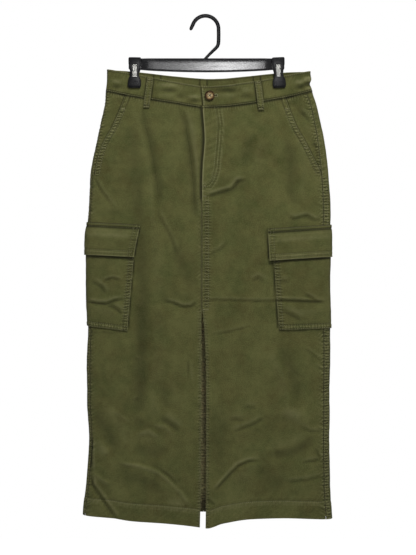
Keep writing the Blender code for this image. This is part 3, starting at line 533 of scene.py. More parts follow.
def shared_relief(w, level):
    """What every layer of the cloth follows: folds, creases, and a hang that grows down the skirt."""
    hang = waves_relief(HANG, w, level) * (0.35 + 0.65 * ease((level - 180.0) / 500.0))
    return fold_relief(w, level) + crease_relief(w, level) + hang


print("folds and creases:", {face: (len(FOLDS[face]), len(CREASES[face])) for face in FOLDS})

# %% [markdown]
# ## Puckered seams
# A sewn line draws the cloth up, and washing shrinks the thread more than the cloth, so a row of
# small ridges crosses every seam. Each seam has its own line of them, given by a function. The
# same ridges are laid on both pieces that meet there, so they run on across the seam.

# %% Ridges along a seam
Pucker = namedtuple("Pucker", "line start end width height pitch lean seed")


def uneven(along, seed, period):
    """A smooth value from -1 to 1 that wanders along a line, not in step with anything."""
    draw = np.random.default_rng(seed)
    total = np.zeros(np.shape(along))
    for share in (1.0, 0.62, 0.38):
        total += np.sin(2 * math.pi * along / (period * share) + draw.uniform(0, 2 * math.pi)) * share
    return total / 2.0


def ripple(along, pitch, seed):
    """Ridges about a pitch apart, uneven in spacing and height."""
    moved_on = along + 0.45 * pitch * uneven(along, seed, 5.3 * pitch)
    return np.sin(2 * math.pi * moved_on / pitch) * (0.6 + 0.4 * uneven(along, seed + 1, 7.7 * pitch))


def aside_of(line, w, level):
    """How far places are, the way w rises, from a line that gives w at a level, in mm."""
    return ((w - line(level)) / mm_to_w(1.0, level) + SPREAD / 2) % SPREAD - SPREAD / 2


def down_pucker(pucker, w, level):
    """Ridges across a seam that runs down the skirt. Its line gives w at a level."""
    aside = aside_of(pucker.line, w, level)
    ends = ease((level - pucker.start) / 14.0) * ease((pucker.end - level) / 14.0)
    waves = ripple(level + pucker.lean * np.abs(aside), pucker.pitch, pucker.seed)
    return pucker.height * waves * bell(aside, pucker.width) * ends


def across_pucker(pucker, w, level):
    """Ridges across a seam that runs round the skirt. Its line gives a level at w."""
    aside = level - pucker.line(w)
    waves = ripple((w % 1.0) * SPREAD + pucker.lean * aside, pucker.pitch, pucker.seed)
    return pucker.height * waves * bell(aside, pucker.width)


def centre_line(level):
    return (front_edge("left", level) + front_edge("right", level)) / 2


HEM_DEPTH = 34.0
SIDE_PUCKERS = {
    "right": Pucker(partial(side_seam, "right"), 150, 1000, 9.0, 0.62, 7.5, 0.5, 21),
    "left": Pucker(partial(side_seam, "left"), 150, 1005, 10.0, 0.65, 7.5, 0.5, 31),
}
SLIT_PUCKERS = {
    "right": Pucker(partial(front_edge, "right"), 590, 1020, 6.0, 0.42, 6.5, 0.4, 43),
    "left": Pucker(partial(front_edge, "left"), 590, 1015, 6.0, 0.48, 6.5, 0.4, 47),
}
POCKET_PUCKERS = {
    side: Pucker(partial(hip_opening, side), 150, 322, 7.0, 0.6, 6.2, 0.5, seed)
    for side, seed in (("right", 61), ("left", 67))
}
CENTRE_PUCKER = Pucker(centre_line, 350, 596, 9.0, 0.5, 6.5, 0.6, 41)
BACK_PUCKER = Pucker(back_seam, 160, 1000, 10.0, 0.55, 9.5, 0.6, 51)
WAIST_PUCKER = Pucker(waist_seam, 0, 0, 7.0, 0.32, 7.5, 0.3, 71)
HEM_PUCKER = Pucker(lambda w: hem_edge(w) - HEM_DEPTH, 0, 0, 8.0, 0.13, 12.5, 0.8, 81)
HEM_ROPE = Pucker(lambda w: hem_edge(w) - HEM_DEPTH * 0.45, 0, 0, 15.0, 0.07, 14.5, 1.1, 83)
print("ridges about", SIDE_PUCKERS["left"].pitch, "mm apart on the side seams")

# %% [markdown]
# ## A piece of cloth as a closed shell
# A piece lies between two lines that run down the skirt and two that run round it. Its outer and
# inner faces are two grids of points, a cloth's thickness apart, joined by a rounded rim. A
# Solidify modifier could give the thickness, but the rim would then tilt with each pucker, and
# neighbours would cut into each other at the folds. Here both faces come from the same formula.

# %% What a piece of cloth is
Near = namedtuple("Near", "first last bottom top")


def no_marks(w, level, near):
    return 0 * w, 0 * w, 0 * w


# marks gives how hard its seams draw the cloth up, for seams that run down and round the skirt, and
# the painted shade in its seams' valleys and under its neighbours' edges, or, below 0, how much paler
# it is painted: painted highlights, and pale lines along some rows.
Piece = namedtuple("Piece", "name first last bottom top thickness lift marks", defaults=(no_marks,))
TOWARDS_FRONT = {"right": 1, "left": -1}
HALF_GAP = SEAM_GAP / 2
RIM = 0.45  # how far the rounded rim reaches past the flat of the cloth
SETTLE_ROUNDS = 6


def moved(line, distance):
    """A line moved along the cloth, by mm, the way w rises."""
    return lambda level: line(level) + mm_to_w(distance, level)


def level_line(level):
    """An edge that stays at one level."""
    return lambda w: level + 0 * w


def calm(w, level):
    """0 where a clip grips the cloth, so that it lies flat there, and 1 away from it."""
    x = plain(w, level)[..., 0]
    gripped = sum(np.exp(-(((x - middle) / 21.0) ** 4)) for middle in CLIP_X.values())
    return 1 - np.clip(gripped * ease((185.0 - level) / 25.0), 0, 1)


def distances(piece, w, level):
    """How far a place is inside each of a piece's four edges, in mm."""
    step = mm_to_w(1.0, level)
    return Near((w - piece.first(level)) / step, (piece.last(level) - w) / step,
                piece.bottom(w) - level, level - piece.top(w))


def own_lift(piece, w, level):
    return piece.lift(w, level, distances(piece, w, level))


def on_piece(piece, w, level, below=0.0):
    """Points on a piece's outer face, or below it, in metres."""
    w, level = np.broadcast_arrays(np.asarray(w, float), np.asarray(level, float))
    soft = shared_relief(w, level) + waves_relief(RUMPLE, w, level)
    lift = own_lift(piece, w, level) + soft * calm(w, level) - below
    return (plain(w, level) + outward(w, level) * lift[..., None]) * MM


def settle(piece, across, down):
    """(w, level) of the place at those shares of a piece's width and height."""
    level = np.full(np.shape(across), 500.0)
    for _ in range(SETTLE_ROUNDS):
        w = piece.first(level) * (1 - across) + piece.last(level) * across
        level = piece.bottom(w) + (piece.top(w) - piece.bottom(w)) * down
    return w, level


def steps(length, coarse, fine, near_start, near_end):
    """Shares from 0 to 1 of a length in mm: fine steps near both ends, coarse ones between."""
    start = np.concatenate([[0, RIM], np.arange(RIM + fine, near_start, fine)])
    end = length - np.concatenate([[0, RIM], np.arange(RIM + fine, near_end, fine)])[::-1]
    low, high = start[-1] + fine, end[0] - fine
    middle = np.linspace(low, high, max(2, int((high - low) / coarse) + 1))
    return np.concatenate([start, middle, end]) / length


# %% The shell's mesh
def boundary(columns, rows):
    """The grid places round a grid's edge, anticlockwise as seen from outside."""
    foot = [(i, 0) for i in range(columns - 1)]
    far = [(columns - 1, j) for j in range(rows - 1)]
    head = [(i, rows - 1) for i in range(columns - 1, 0, -1)]
    return np.array(foot + far + head + [(0, j) for j in range(rows - 1, 0, -1)])


def outermost(line, count):
    """The grid line beyond a first or last one, or the same line, once the grid has one more each way."""
    return np.where(line == 0, 0, np.where(line == count - 1, count + 1, line + 1))


def new_object(name, points, faces, material):
    mesh = bpy.data.meshes.new(name)
    mesh.from_pydata([tuple(p) for p in points], [], [tuple(int(v) for v in f) for f in faces])
    mesh.validate()
    mesh.shade_smooth()
    mesh.materials.append(material)
    thing = bpy.data.objects.new(name, mesh)
    bpy.context.scene.collection.objects.link(thing)
    return thing


def ridge_of(piece, w, level):
    """How far the small relief stands out, in mm: its ridges rub against things and wear lighter, and its
    hollows get painted shade.
    """
    small = crease_relief(w, level) * 0.17 + fold_relief(w, level) * 0.02
    smoothed = sum(own_lift(piece, w, level + d) for d in (-7, -3.5, 3.5, 7)) / 4
    return np.clip(small + own_lift(piece, w, level) - smoothed, -2, 2)


def cut_of(outer):
    """The size that a piece was cut to, from its outer grid: greatest width and length, and area."""
    widths = np.linalg.norm(np.diff(outer, axis=0), axis=2)
    lengths = np.linalg.norm(np.diff(outer, axis=1), axis=2)
    across, down = float(widths.sum(axis=0).max()), float(lengths.sum(axis=1).max())
    area = ((widths[:, :-1] + widths[:, 1:]) / 2 * (lengths[:-1] + lengths[1:]) / 2).sum()
    return across, down, min(float(area), across * down)


def make_cloth(piece, across, down, node, material=None):
    """A piece's closed shell, in place of its plain solid, with its UV map in metres and its cut."""
    grids = settle(piece, *np.meshgrid(across, down, indexing="ij"))
    columns, rows = len(across) - 2, len(down) - 2
    count = columns * rows
    i, j = boundary(columns, rows).T
    rim = outermost(i, columns), outermost(j, rows)
    w, level = (np.concatenate([grid[1:-1, 1:-1].ravel()] * 2 + [grid[rim]]) for grid in grids)
    below = np.repeat([0.0, piece.thickness, piece.thickness / 2], [count, count, len(i)])
    points = on_piece(piece, w, level, below)
    corner = (np.arange(columns - 1)[:, None] * rows + np.arange(rows - 1)).ravel()
    flat = np.stack([corner, corner + rows, corner + rows + 1, corner + 1], axis=1)
    ring, edge = i * rows + j, 2 * count + np.arange(len(i))
    after, edge_after = np.roll(ring, -1), np.roll(edge, -1)
    sides = [np.stack([after, ring, edge, edge_after], axis=1),
             np.stack([edge_after, edge, ring + count, after + count], axis=1)]
    faces = np.concatenate([flat, flat[:, ::-1] + count] + sides)
    thing = new_object(piece.name, points, faces, material or twill)
    mesh = thing.data
    uv = np.stack([w * SPREAD, -level], axis=1) * MM
    corners = np.zeros(len(mesh.loops), int)
    mesh.loops.foreach_get("vertex_index", corners)
    mesh.uv_layers.new(name="cloth").data.foreach_set("uv", uv[corners].ravel())
    near = distances(piece, w, level)
    drawn_down, drawn_round, dark = piece.marks(w, level, near)
    masks = {"edge": np.clip(np.minimum.reduce(list(near)), 0, 60), "ridge": ridge_of(piece, w, level),
             "drawn_down": np.clip(drawn_down, -1, 1), "drawn_round": np.clip(drawn_round, -1, 1),
             "shadow": np.clip(dark + crease_shadow(w, level), -1, 1)}
    for name, values in masks.items():
        mesh.attributes.new(name, "FLOAT", "POINT").data.foreach_set("value", values.astype(np.float32))
    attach(thing, "root")
    if node:
        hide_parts(node)
    across, down, area = cut_of(points[:count].reshape(columns, rows, 3))
    flat = (math.ceil(across * 1000) / 1000, math.ceil(down * 1000) / 1000)
    print(f"{thing.name}: {across:.3f} x {down:.3f} m, {area:.4f} m2, {len(mesh.polygons)} faces")
    return thing

# %% [markdown]
# ## Modelling by hand, in code
# An operator acts on all that is selected, so every shape starts with nothing selected, and its
# faces or points are then picked by where they are. These few helpers keep that in one place. All
# their sizes are in millimetres.

# %% Helpers for edit mode
def start_shape():
    """Object mode, with nothing selected."""
    if bpy.context.object and bpy.context.object.mode != "OBJECT":
        bpy.ops.object.mode_set(mode="OBJECT")
    bpy.ops.object.select_all(action="DESELECT")


def edit(name=None):
    """The shape just added, with its size and place in its mesh, selected all over in edit mode."""
    thing = bpy.context.object
    bpy.ops.object.transform_apply(location=True, rotation=True, scale=True)
    thing.name = thing.data.name = name or thing.name
    bpy.ops.object.mode_set(mode="EDIT")
    bpy.ops.mesh.select_all(action="SELECT")
    return thing


def start_box(name, low, high):
    """A cube primitive between two corners."""
    start_shape()
    bpy.ops.mesh.primitive_cube_add(size=1.0, location=[(a + b) / 2 * MM for a, b in zip(low, high)],
                                    scale=[(b - a) * MM for a, b in zip(low, high)])
    return edit(name)


def slice_at(axis, values):
    """Cut the whole shape across an axis at those places."""
    for value in values:
        normal = [0.0, 0.0, 0.0]
        normal[axis] = 1.0
        bpy.ops.mesh.select_all(action="SELECT")
        bpy.ops.mesh.bisect(plane_co=[n * value * MM for n in normal], plane_no=normal)


def select(thing, kind, test):
    """Select the faces or points for which test(place, normal) is true, and nothing else."""
    bpy.ops.object.mode_set(mode="OBJECT")
    mesh = thing.data
    for parts in (mesh.vertices, mesh.edges, mesh.polygons):
        parts.foreach_set("select", [False] * len(parts))
    for part in mesh.polygons if kind == "FACE" else mesh.vertices:
        place = part.center if kind == "FACE" else part.co
        part.select = bool(test(place / MM, part.normal))
    bpy.ops.object.mode_set(mode="EDIT")
    bpy.ops.mesh.select_mode(type=kind)


def shift(x, y, z):
    bpy.ops.transform.translate(value=(x * MM, y * MM, z * MM))


def round_edges(offset, segments):
    """Bevel every edge of the shape, and leave edit mode."""
    bpy.ops.mesh.select_all(action="SELECT")
    bpy.ops.mesh.bevel(offset=offset * MM, segments=segments, affect="EDGES")
    bpy.ops.object.mode_set(mode="OBJECT")


def apply_modifier(thing, kind, **settings):
    bpy.ops.object.mode_set(mode="OBJECT")
    modifier = thing.modifiers.new(kind.lower(), kind)
    for key, value in settings.items():
        setattr(modifier, key, value)
    bpy.context.view_layer.objects.active = thing
    bpy.ops.object.modifier_apply(modifier=modifier.name)


def soften(thing, width, angle=0.6):
    apply_modifier(thing, "BEVEL", width=width * MM, segments=3, limit_method="ANGLE", angle_limit=angle)


def join(things, into):
    bpy.ops.object.select_all(action="DESELECT")
    for thing in things + [into]:
        thing.select_set(True)
    bpy.context.view_layer.objects.active = into
    bpy.ops.object.join()


def finish_piece(thing, material, nodes, angle=35):
    """Smooth shading, the material, and its place on the part."""
    bpy.ops.object.mode_set(mode="OBJECT")
    bpy.ops.object.select_all(action="DESELECT")
    thing.select_set(True)
    bpy.context.view_layer.objects.active = thing
    bpy.ops.object.transform_apply(location=True, rotation=True, scale=True)
    bpy.ops.object.shade_smooth_by_angle(angle=math.radians(angle))
    thing.data.materials.clear()
    thing.data.materials.append(material)
    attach(thing, "root")
    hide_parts(*nodes)
    print(f"{thing.name}: {len(thing.data.polygons)} faces")


def take_shape(thing):
    """The points and faces of a shape that will be repeated. The shape itself goes."""
    bpy.ops.object.mode_set(mode="OBJECT")
    points = np.array([v.co[:] for v in thing.data.vertices])
    faces = [tuple(p.vertices) for p in thing.data.polygons]
    bpy.data.objects.remove(thing)
    return points, faces


def repeat(name, points, shape, material):
    """One piece that repeats a shape: its faces again for each run of its points."""
    size = len(shape[0])
    faces = [tuple(v + start for v in face) for start in range(0, len(points), size) for face in shape[1]]
    thing = new_object(name, points, faces, material)
    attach(thing, "root")
    print(f"{name}: {len(points) // size} of {len(shape[1])} faces each")
    return thing


# %% [markdown]
# ## Stitches
# Topstitching is what makes workwear look made: two rows of thick thread, each stitch sunk at its
# ends and proud in its middle. One small thread shape is made by hand and then laid along every
# row, all of a piece's stitches joined in one mesh. A few dozen faces a stitch are enough.

# %% Model one stitch, a metre long and wide, to be scaled where it is laid
STITCH_LENGTH, STITCH_PITCH, STITCH_WIDTH, STITCH_HEIGHT = 2.8, 4.1, 0.9, 0.6
TACK_PITCH, TACK_STITCH = 0.62, (2.3, 0.62, 0.75)
start_shape()
bpy.ops.mesh.primitive_cylinder_add(vertices=6, radius=0.5, depth=1.0, location=(0, 0, 0),
                                    rotation=(0, math.pi / 2, 0))
one_stitch = edit("stitch")
slice_at(0, [260, -260])
STITCH = take_shape(one_stitch)
at_end = np.abs(STITCH[0][:, 0]) > 0.4
STITCH[0][at_end, 1:] *= 0.45
STITCH[0][at_end, 2] -= 0.75
print("one stitch:", len(STITCH[1]), "faces")


# %% Lay stitches along a row
def down_run(line, offset, start, end):
    """A row down the skirt, beside a line that gives w at a level."""
    level = np.linspace(start, end, max(8, int(abs(end - start) / 2.0)))
    return line(level) + mm_to_w(offset, level), level


def across_run(line, offset, w_start, w_end):
    """A row round the skirt, that far above a line that gives a level at w."""
    w = np.linspace(w_start, w_end, max(8, int(abs(w_end - w_start) * SPREAD / 2.0)))
    return w, line(w) - offset


def free_run(points):
    """A row through points (x, level) on the front, rounded at its corners."""
    points = np.array(points, float)
    lengths = lengths_along(points)
    at = np.linspace(0, lengths[-1], max(8, int(lengths[-1] / 1.5)))
    x, level = np.interp(at, lengths, points[:, 0]), np.interp(at, lengths, points[:, 1])
    for _ in range(6):
        x[1:-1] = (x[:-2] + 2 * x[1:-1] + x[2:]) / 4
        level[1:-1] = (level[:-2] + 2 * level[1:-1] + level[2:]) / 4
    return w_at(x, level, "front"), level


def frames_at(piece, w, level, heading):
    """Where stitches lie at those places on a piece: middles, headings, sides and normals."""
    heading = heading / np.linalg.norm(heading, axis=1, keepdims=True)
    side = np.cross(outward(w, level), heading)
    side /= np.linalg.norm(side, axis=1, keepdims=True)
    return on_piece(piece, w, level), heading, side, np.cross(heading, side)


def row_frames(piece, run, pitch):
    points = on_piece(piece, *run)
    lengths = lengths_along(points)
    count = max(1, int(lengths[-1] / (pitch * MM)))
    at = (np.arange(count) + 0.5) * lengths[-1] / count
    before, after = [np.stack([np.interp(at + d, lengths, points[:, k]) for k in range(3)], axis=1)
                     for d in (-MM, MM)]
    w, level = (np.interp(at, lengths, values) for values in run)
    return frames_at(piece, w, level, after - before)


def bartack_frames(piece, w, level, length):
    """The short close stitches of a bartack stand side by side along a level line."""
    count = int(length / TACK_PITCH)
    w = w + mm_to_w((np.arange(count) - (count - 1) / 2) * TACK_PITCH, level)
    level = np.full(count, float(level))
    return frames_at(piece, w, level, on_piece(piece, w, level + 1.0) - on_piece(piece, w, level))


def lay_stitches(frames, length, width, height):
    """Points of one stitch at every frame."""
    middle, heading, side, normal = (part[:, None] for part in frames)
    along, across, up = (STITCH[0] * np.array([length, width, height]) * MM).T[:, None, :, None]
    return (middle + heading * along + side * across + normal * (up + 0.08 * MM)).reshape(-1, 3)


def sew(name, piece, runs, material, tacks=(), pitch=STITCH_PITCH):
    """One object with all of a piece's rows of stitches and its bartacks."""
    size = STITCH_LENGTH * pitch / STITCH_PITCH, STITCH_WIDTH, STITCH_HEIGHT
    points = [lay_stitches(row_frames(piece, run, pitch), *size) for run in runs]
    points += [lay_stitches(bartack_frames(piece, *tack), *TACK_STITCH) for tack in tacks]
    return repeat(name, np.concatenate(points), STITCH, material)


# %% [markdown]
# ## Shared effects
# Weave, wear and moulded grain are wanted on more than one material, so each is a node group that
# is built once. A group puts out only values that change over the surface. The shader stays in
# each material, where a baked export can read it.

# %% Nodes from sockets and plain numbers
def tree_of(*values):
    """The node tree that the first socket among these values belongs to."""
    return next(value for value in values if isinstance(value, bpy.types.NodeSocket)).id_data


def plug(value, socket):
    """Link a value to a socket if it is a socket itself, or set it there if it is plain."""
    if isinstance(value, bpy.types.NodeSocket):
        socket.id_data.links.new(value, socket)
    else:
        socket.default_value = value


def calc(operation, *values, clamp=False):
    """A Math node. Returns its output."""
    node = tree_of(*values).nodes.new("ShaderNodeMath")
    node.operation, node.use_clamp = operation, clamp
    for value, socket in zip(values, node.inputs):
        plug(value, socket)
    return node.outputs[0]


plus, times, scaled = partial(calc, "ADD"), partial(calc, "MULTIPLY"), partial(calc, "MULTIPLY_ADD")


def noise(vector, scale, detail=2.0, roughness=0.5, stretch=None):
    """A noise texture's value about 0.5."""
    nodes = tree_of(vector).nodes
    if stretch:
        mapping = nodes.new("ShaderNodeMapping")
        plug(stretch, mapping.inputs["Scale"])
        plug(vector, mapping.inputs["Vector"])
        vector = mapping.outputs["Vector"]
    node = nodes.new("ShaderNodeTexNoise")
    for name, value in (("Vector", vector), ("Scale", scale), ("Detail", detail), ("Roughness", roughness)):
        plug(value, node.inputs[name])
    return node.outputs["Fac"]


def split(vector):
    node = tree_of(vector).nodes.new("ShaderNodeSeparateXYZ")
    plug(vector, node.inputs[0])
    return node.outputs


def mix_colour(factor, first, second):
    node = tree_of(factor).nodes.new("ShaderNodeMix")
    node.data_type = "RGBA"
    colours = [socket for socket in node.inputs if socket.type == "RGBA"]
    for value, socket in zip((factor, first, second), [node.inputs[0]] + colours):
        plug(value, socket)
    return [socket for socket in node.outputs if socket.type == "RGBA"][0]


def new_group(name, inputs, outputs):
    """A node group. An input that starts as None is a vector, and every other socket a number."""
    group = bpy.data.node_groups.new(name, "ShaderNodeTree")
    for socket, start in inputs.items():
        kind = "NodeSocketVector" if start is None else "NodeSocketFloat"
        made = group.interface.new_socket(name=socket, in_out="INPUT", socket_type=kind)
        if start is not None:
            made.default_value = start
    for socket in outputs:
        group.interface.new_socket(name=socket, in_out="OUTPUT", socket_type="NodeSocketFloat")
    return group, group.nodes.new("NodeGroupInput").outputs, group.nodes.new("NodeGroupOutput").inputs


def place_group(group, **values):
    node = tree_of(*values.values()).nodes.new("ShaderNodeGroup")
    node.node_tree = group
    for name, value in values.items():
        plug(value, node.inputs[name])
    return node.outputs


# %% Twill weave: diagonal ribs of thread, in step with the cloth's own UV map
TWILL_WEAVE, given, out = new_group("twill_weave", {"Cloth": None, "Pitch": 0.0011}, ["Height", "Rib"])
parts = split(given["Cloth"])
across = plus(parts["X"], times(noise(given["Cloth"], 260.0), 0.0011))
diagonal = calc("DIVIDE", plus(across, times(parts["Y"], 0.58)), given["Pitch"])
rib = calc("SINE", times(diagonal, 2 * math.pi))
floats = calc("DIVIDE", calc("SUBTRACT", parts["Y"], across), given["Pitch"])
strand = calc("SINE", times(floats, 2 * math.pi * 1.6))
yarn = noise(given["Cloth"], 900.0, detail=3.0)
plug(plus(scaled(rib, 0.5, times(strand, 0.22)), times(yarn, 0.6)), out["Height"])
plug(scaled(rib, 0.5, 0.5), out["Rib"])

# %% Short ridges across a row of stitches, too fine for the mesh
SEAM_PUCKER, given, out = new_group(
    "seam_pucker", {"Cloth": None, "Down": 0.0, "Round": 0.0, "Pitch": 0.0058}, ["Height"])
parts = split(given["Cloth"])
wander = times(noise(given["Cloth"], 95.0), 7.0)
turns = calc("DIVIDE", 2 * math.pi, given["Pitch"])
rungs = [times(calc("SINE", scaled(parts[axis], turns, wander)), given[amount])
         for axis, amount in (("Y", "Down"), ("X", "Round"))]
plug(times(plus(*rungs), scaled(noise(given["Cloth"], 130.0), 1.6, 0.1)), out["Height"])

# %% Garment wash: broad and fine mottling, paler ridges and edges from wear, painted shade in the valleys
WASH_AND_SHADE, given, out = new_group(
    "wash_and_valley_shade", {"Place": None, "Cloth": None, "Ridge": 0.0, "Edge": 60.0},
    ["Mottle", "Tint", "Fade", "Painted Shade"])
cloudy = noise(given["Place"], 75.0, detail=5.0, roughness=0.75)
mottle = scaled(noise(given["Place"], 7.0, detail=3.0, roughness=0.6), 0.8, -2.25)
mottle = scaled(noise(given["Place"], 24.0, detail=6.0, roughness=0.68), 1.6, mottle)
mottle = scaled(noise(given["Cloth"], 520.0, roughness=0.7), 2.1, scaled(cloudy, 1.0, mottle))
plug(mottle, out["Mottle"])
plug(scaled(noise(given["Place"], 31.0, detail=3.0, roughness=0.6), 3.0, -1.0, clamp=True), out["Tint"])
pale_mask = calc("MAXIMUM", times(given["Ridge"], 1.5, clamp=True), scaled(given["Edge"], -0.45, 1.0, clamp=True))
plug(times(pale_mask, times(cloudy, 1.6, clamp=True), clamp=True), out["Fade"])
# Painted shade: where the relief sinks, in creases and between puckers, the cloth is painted darker.
plug(times(given["Ridge"], -1.3, clamp=True), out["Painted Shade"])

# %% Moulded plastic: a faint orange peel and a few scuffs
MOULDING, given, out = new_group("moulding", {"Place": None, "Grain": 900.0}, ["Height", "Scuff"])
scratch = noise(given["Place"], 160.0, detail=5.0, roughness=0.8, stretch=(0.12, 1.0, 1.0))
scuff = times(calc("SUBTRACT", scratch, 0.54), 5.0, clamp=True)
plug(noise(given["Place"], given["Grain"], detail=3.0), out["Height"])
plug(times(scuff, noise(given["Place"], 90.0, detail=4.0, roughness=0.7)), out["Scuff"])
print("node groups:", [g.name for g in (TWILL_WEAVE, SEAM_PUCKER, WASH_AND_SHADE, MOULDING)])

# %% [markdown]
# ## The cloth, the thread, the horn and the plastic
# Olive cotton twill is matt, a little hairy, and never one colour: its ridges and edges wear paler,
# shade is painted into the valleys of its seams, and some lips and edges get a painted highlight.
# The thread was dyed with it and came out a touch paler.

# %% Cloth and thread materials
OLIVE_DEEP, OLIVE_PALE = (0.058, 0.061, 0.0165, 1.0), (0.142, 0.143, 0.0490, 1.0)
# The paler of these two is the colour of worn cloth and of painted highlights, the darker the colour of
# painted shade.
OLIVE_WEAR_AND_HIGHLIGHT, OLIVE_SHADE = (0.230, 0.225, 0.105, 1.0), (0.013, 0.013, 0.005, 1.0)
HUES = ((0.90, 1.04, 1.0, 1.0), (1.12, 0.96, 1.0, 1.0))  # the dye leans to green, or to brown
THREAD_DEEP, THREAD_PALE = (0.11, 0.11, 0.045, 1.0), (0.27, 0.26, 0.14, 1.0)


def start_material(name, roughness, metallic=0.0, specular=0.5):
    """A material, its shader's sockets, and a place on the object to read patterns at."""
    material = bpy.data.materials.new(name)
    material.use_nodes = True
    shader = material.node_tree.nodes["Principled BSDF"].inputs
    for socket, value in (("Roughness", roughness), ("Metallic", metallic), ("Specular IOR Level", specular)):
        shader[socket].default_value = value
    return material, shader, material.node_tree.nodes.new("ShaderNodeTexCoord").outputs["Object"]


def read_attribute(material, name):
    node = material.node_tree.nodes.new("ShaderNodeAttribute")
    node.attribute_name = name
    return node.outputs["Fac"]


def bump(shader, height, distance, strength=1.0):
    node = tree_of(height).nodes.new("ShaderNodeBump")
    for name, value in (("Strength", strength), ("Distance", distance), ("Height", height)):
        plug(value, node.inputs[name])
    plug(node.outputs["Normal"], shader["Normal"])


def make_twill(name, deep, pale):
    material, shader, place = start_material(name, 0.92, specular=0.25)
    uv_map = material.node_tree.nodes.new("ShaderNodeUVMap")
    uv_map.uv_map = "cloth"
    cloth = uv_map.outputs["UV"]
    edge, ridge, down, round_it, shadow = (read_attribute(material, name) for name in (
        "edge", "ridge", "drawn_down", "drawn_round", "shadow"))
    weave = place_group(TWILL_WEAVE, Cloth=cloth)
    pucker = place_group(SEAM_PUCKER, Cloth=cloth, Down=down, Round=round_it)["Height"]
    wash = place_group(WASH_AND_SHADE, Place=place, Cloth=cloth, Ridge=scaled(pucker, 0.75, ridge), Edge=edge)
    tone = plus(times(wash["Mottle"], 0.78), times(weave["Rib"], 0.22), clamp=True)
    greener, browner = [tuple(c * t for c, t in zip(deep, tints)) for tints in HUES]
    colour = mix_colour(tone, mix_colour(wash["Tint"], greener, browner), pale)
    colour = mix_colour(times(wash["Fade"], 0.7), colour, OLIVE_WEAR_AND_HIGHLIGHT)
    # Painted highlight: where the shadow attribute is below 0, the cloth is painted paler.
    colour = mix_colour(times(shadow, -1.0, clamp=True), colour, OLIVE_WEAR_AND_HIGHLIGHT)
    # Painted shade: the relief's valleys and the shadow attribute paint the cloth darker.
    painted_shade = calc("MAXIMUM", times(wash["Painted Shade"], 0.6), times(shadow, 0.85))
    plug(mix_colour(painted_shade, colour, OLIVE_SHADE), shader["Base Color"])
    plug(0.06, shader["Sheen Weight"])
    plug(0.55, shader["Sheen Roughness"])
    plug((0.6, 0.6, 0.42, 1.0), shader["Sheen Tint"])
    bump(shader, scaled(pucker, 0.0006, times(weave["Height"], 0.00018)), 1.0)
    return material


def make_thread(name, deep, pale):
    material, shader, place = start_material(name, 0.75, specular=0.3)
    ply = noise(place, 1800.0)
    tone = plus(scaled(noise(place, 60.0, detail=4.0), 1.6, -0.5), times(ply, 0.5), clamp=True)
    plug(mix_colour(tone, deep, pale), shader["Base Color"])
    bump(shader, ply, 0.00015, 0.8)
    return material


twill = make_twill("olive_twill", OLIVE_DEEP, OLIVE_PALE)
thread = make_thread("olive_thread", THREAD_DEEP, THREAD_PALE)
print("materials:", twill.name, thread.name)


# %% [markdown]
# ## The four panels
# Each half of the skirt is a front and a back panel. Their grids are fine beside the seams, where
# the puckers are a few millimetres wide, and coarse between them. A topstitched edge is a few
# layers thick, so the cloth stands up out to its stitches and sinks along them.

# %% How cloth stands up and sinks at its edges
def welt(inside, width, height):
    """Folded cloth under a topstitched edge: that much higher out to the stitches."""
    return height * (1 - ease((inside - width + 1.5) / 2.5))


def rows_of(inside, rows, width=1.4):
    """1 along each row, at those distances inside an edge."""
    return sum(bell(inside - row, width) for row in rows)


def groove(inside, rows, depth=0.7):
    """Cloth that rows of stitches pull down."""
    return -depth * rows_of(inside, rows, 1.3)


def just_past(distance, width):
    """1 at an edge and fading beyond it, but nothing inside it."""
    return bell(distance, width) * ease(distance + 1.0)


def hem_relief(w, level, near):
    """The folded hem: a row of stitches, and the rope-like twist below it."""
    folded = 1 - ease((near.bottom - HEM_DEPTH + 1.0) / 2.0)
    twist = across_pucker(HEM_PUCKER, w, level) + across_pucker(HEM_ROPE, w, level) * folded
    return 0.6 * folded + groove(near.bottom, (HEM_DEPTH,), 0.4) + twist


# %% The panels' edges
TWIN = (6.4, 13.0)  # the two rows beside the centre front seam
POCKET_ROWS, BACK_ROWS, SIDE_ROWS, SLIT_ROW = (1.8, 10.0), (2.0, 9.0), (2.0, 8.5), 3.0
FLY_REACH = ((187, 31), (215, 33), (243, 31), (283, 31), (307, 29), (325, 24), (340, 5))
J_STITCH = [(25.4, 180), (30.0, 207), (30.6, 219), (29, 243), (25.4, 283), (23.6, 307), (18, 325),
            (9, 338), (-5, 341)]
J_INNER = [(x - 6.0, level - 0.5) for x, level in J_STITCH[:-2]] + [(6, 331), (-5, 334)]
HEM_CORNER = 940.0  # below this the side seam's gap closes, where there is no cloth behind it


def beside_seam(side, way, level):
    """The edge of the panel on one side of a side seam: way 1 in front of it, and -1 behind it."""
    gap = HALF_GAP * (1 - 0.9 * ease((np.asarray(level, float) - HEM_CORNER) / 30.0))
    return side_seam(side, level) + way * TOWARDS_FRONT[side] * mm_to_w(gap, level)


def front_side(side, level):
    """A front panel's side edge: the hip pocket's opening above, and the side seam below."""
    seam, opening = beside_seam(side, 1, level), hip_opening(side, level)
    past_seam = (opening - seam) * TOWARDS_FRONT[side] > 0
    return np.where((np.asarray(level) < HIP_POCKET_END) & past_seam, opening, seam)


def front_middle(side, level):
    return front_edge(side, level) - TOWARDS_FRONT[side] * mm_to_w(HALF_GAP, level)


def back_middle(side, level):
    return back_seam(level) + TOWARDS_FRONT[side] * mm_to_w(HALF_GAP, level) - (side == "right")


def side_and_middle(face, side, near):
    """A panel's distances from its side seam and from the centre."""
    return (near.first, near.last) if (face == "front") == (side == "right") else (near.last, near.first)


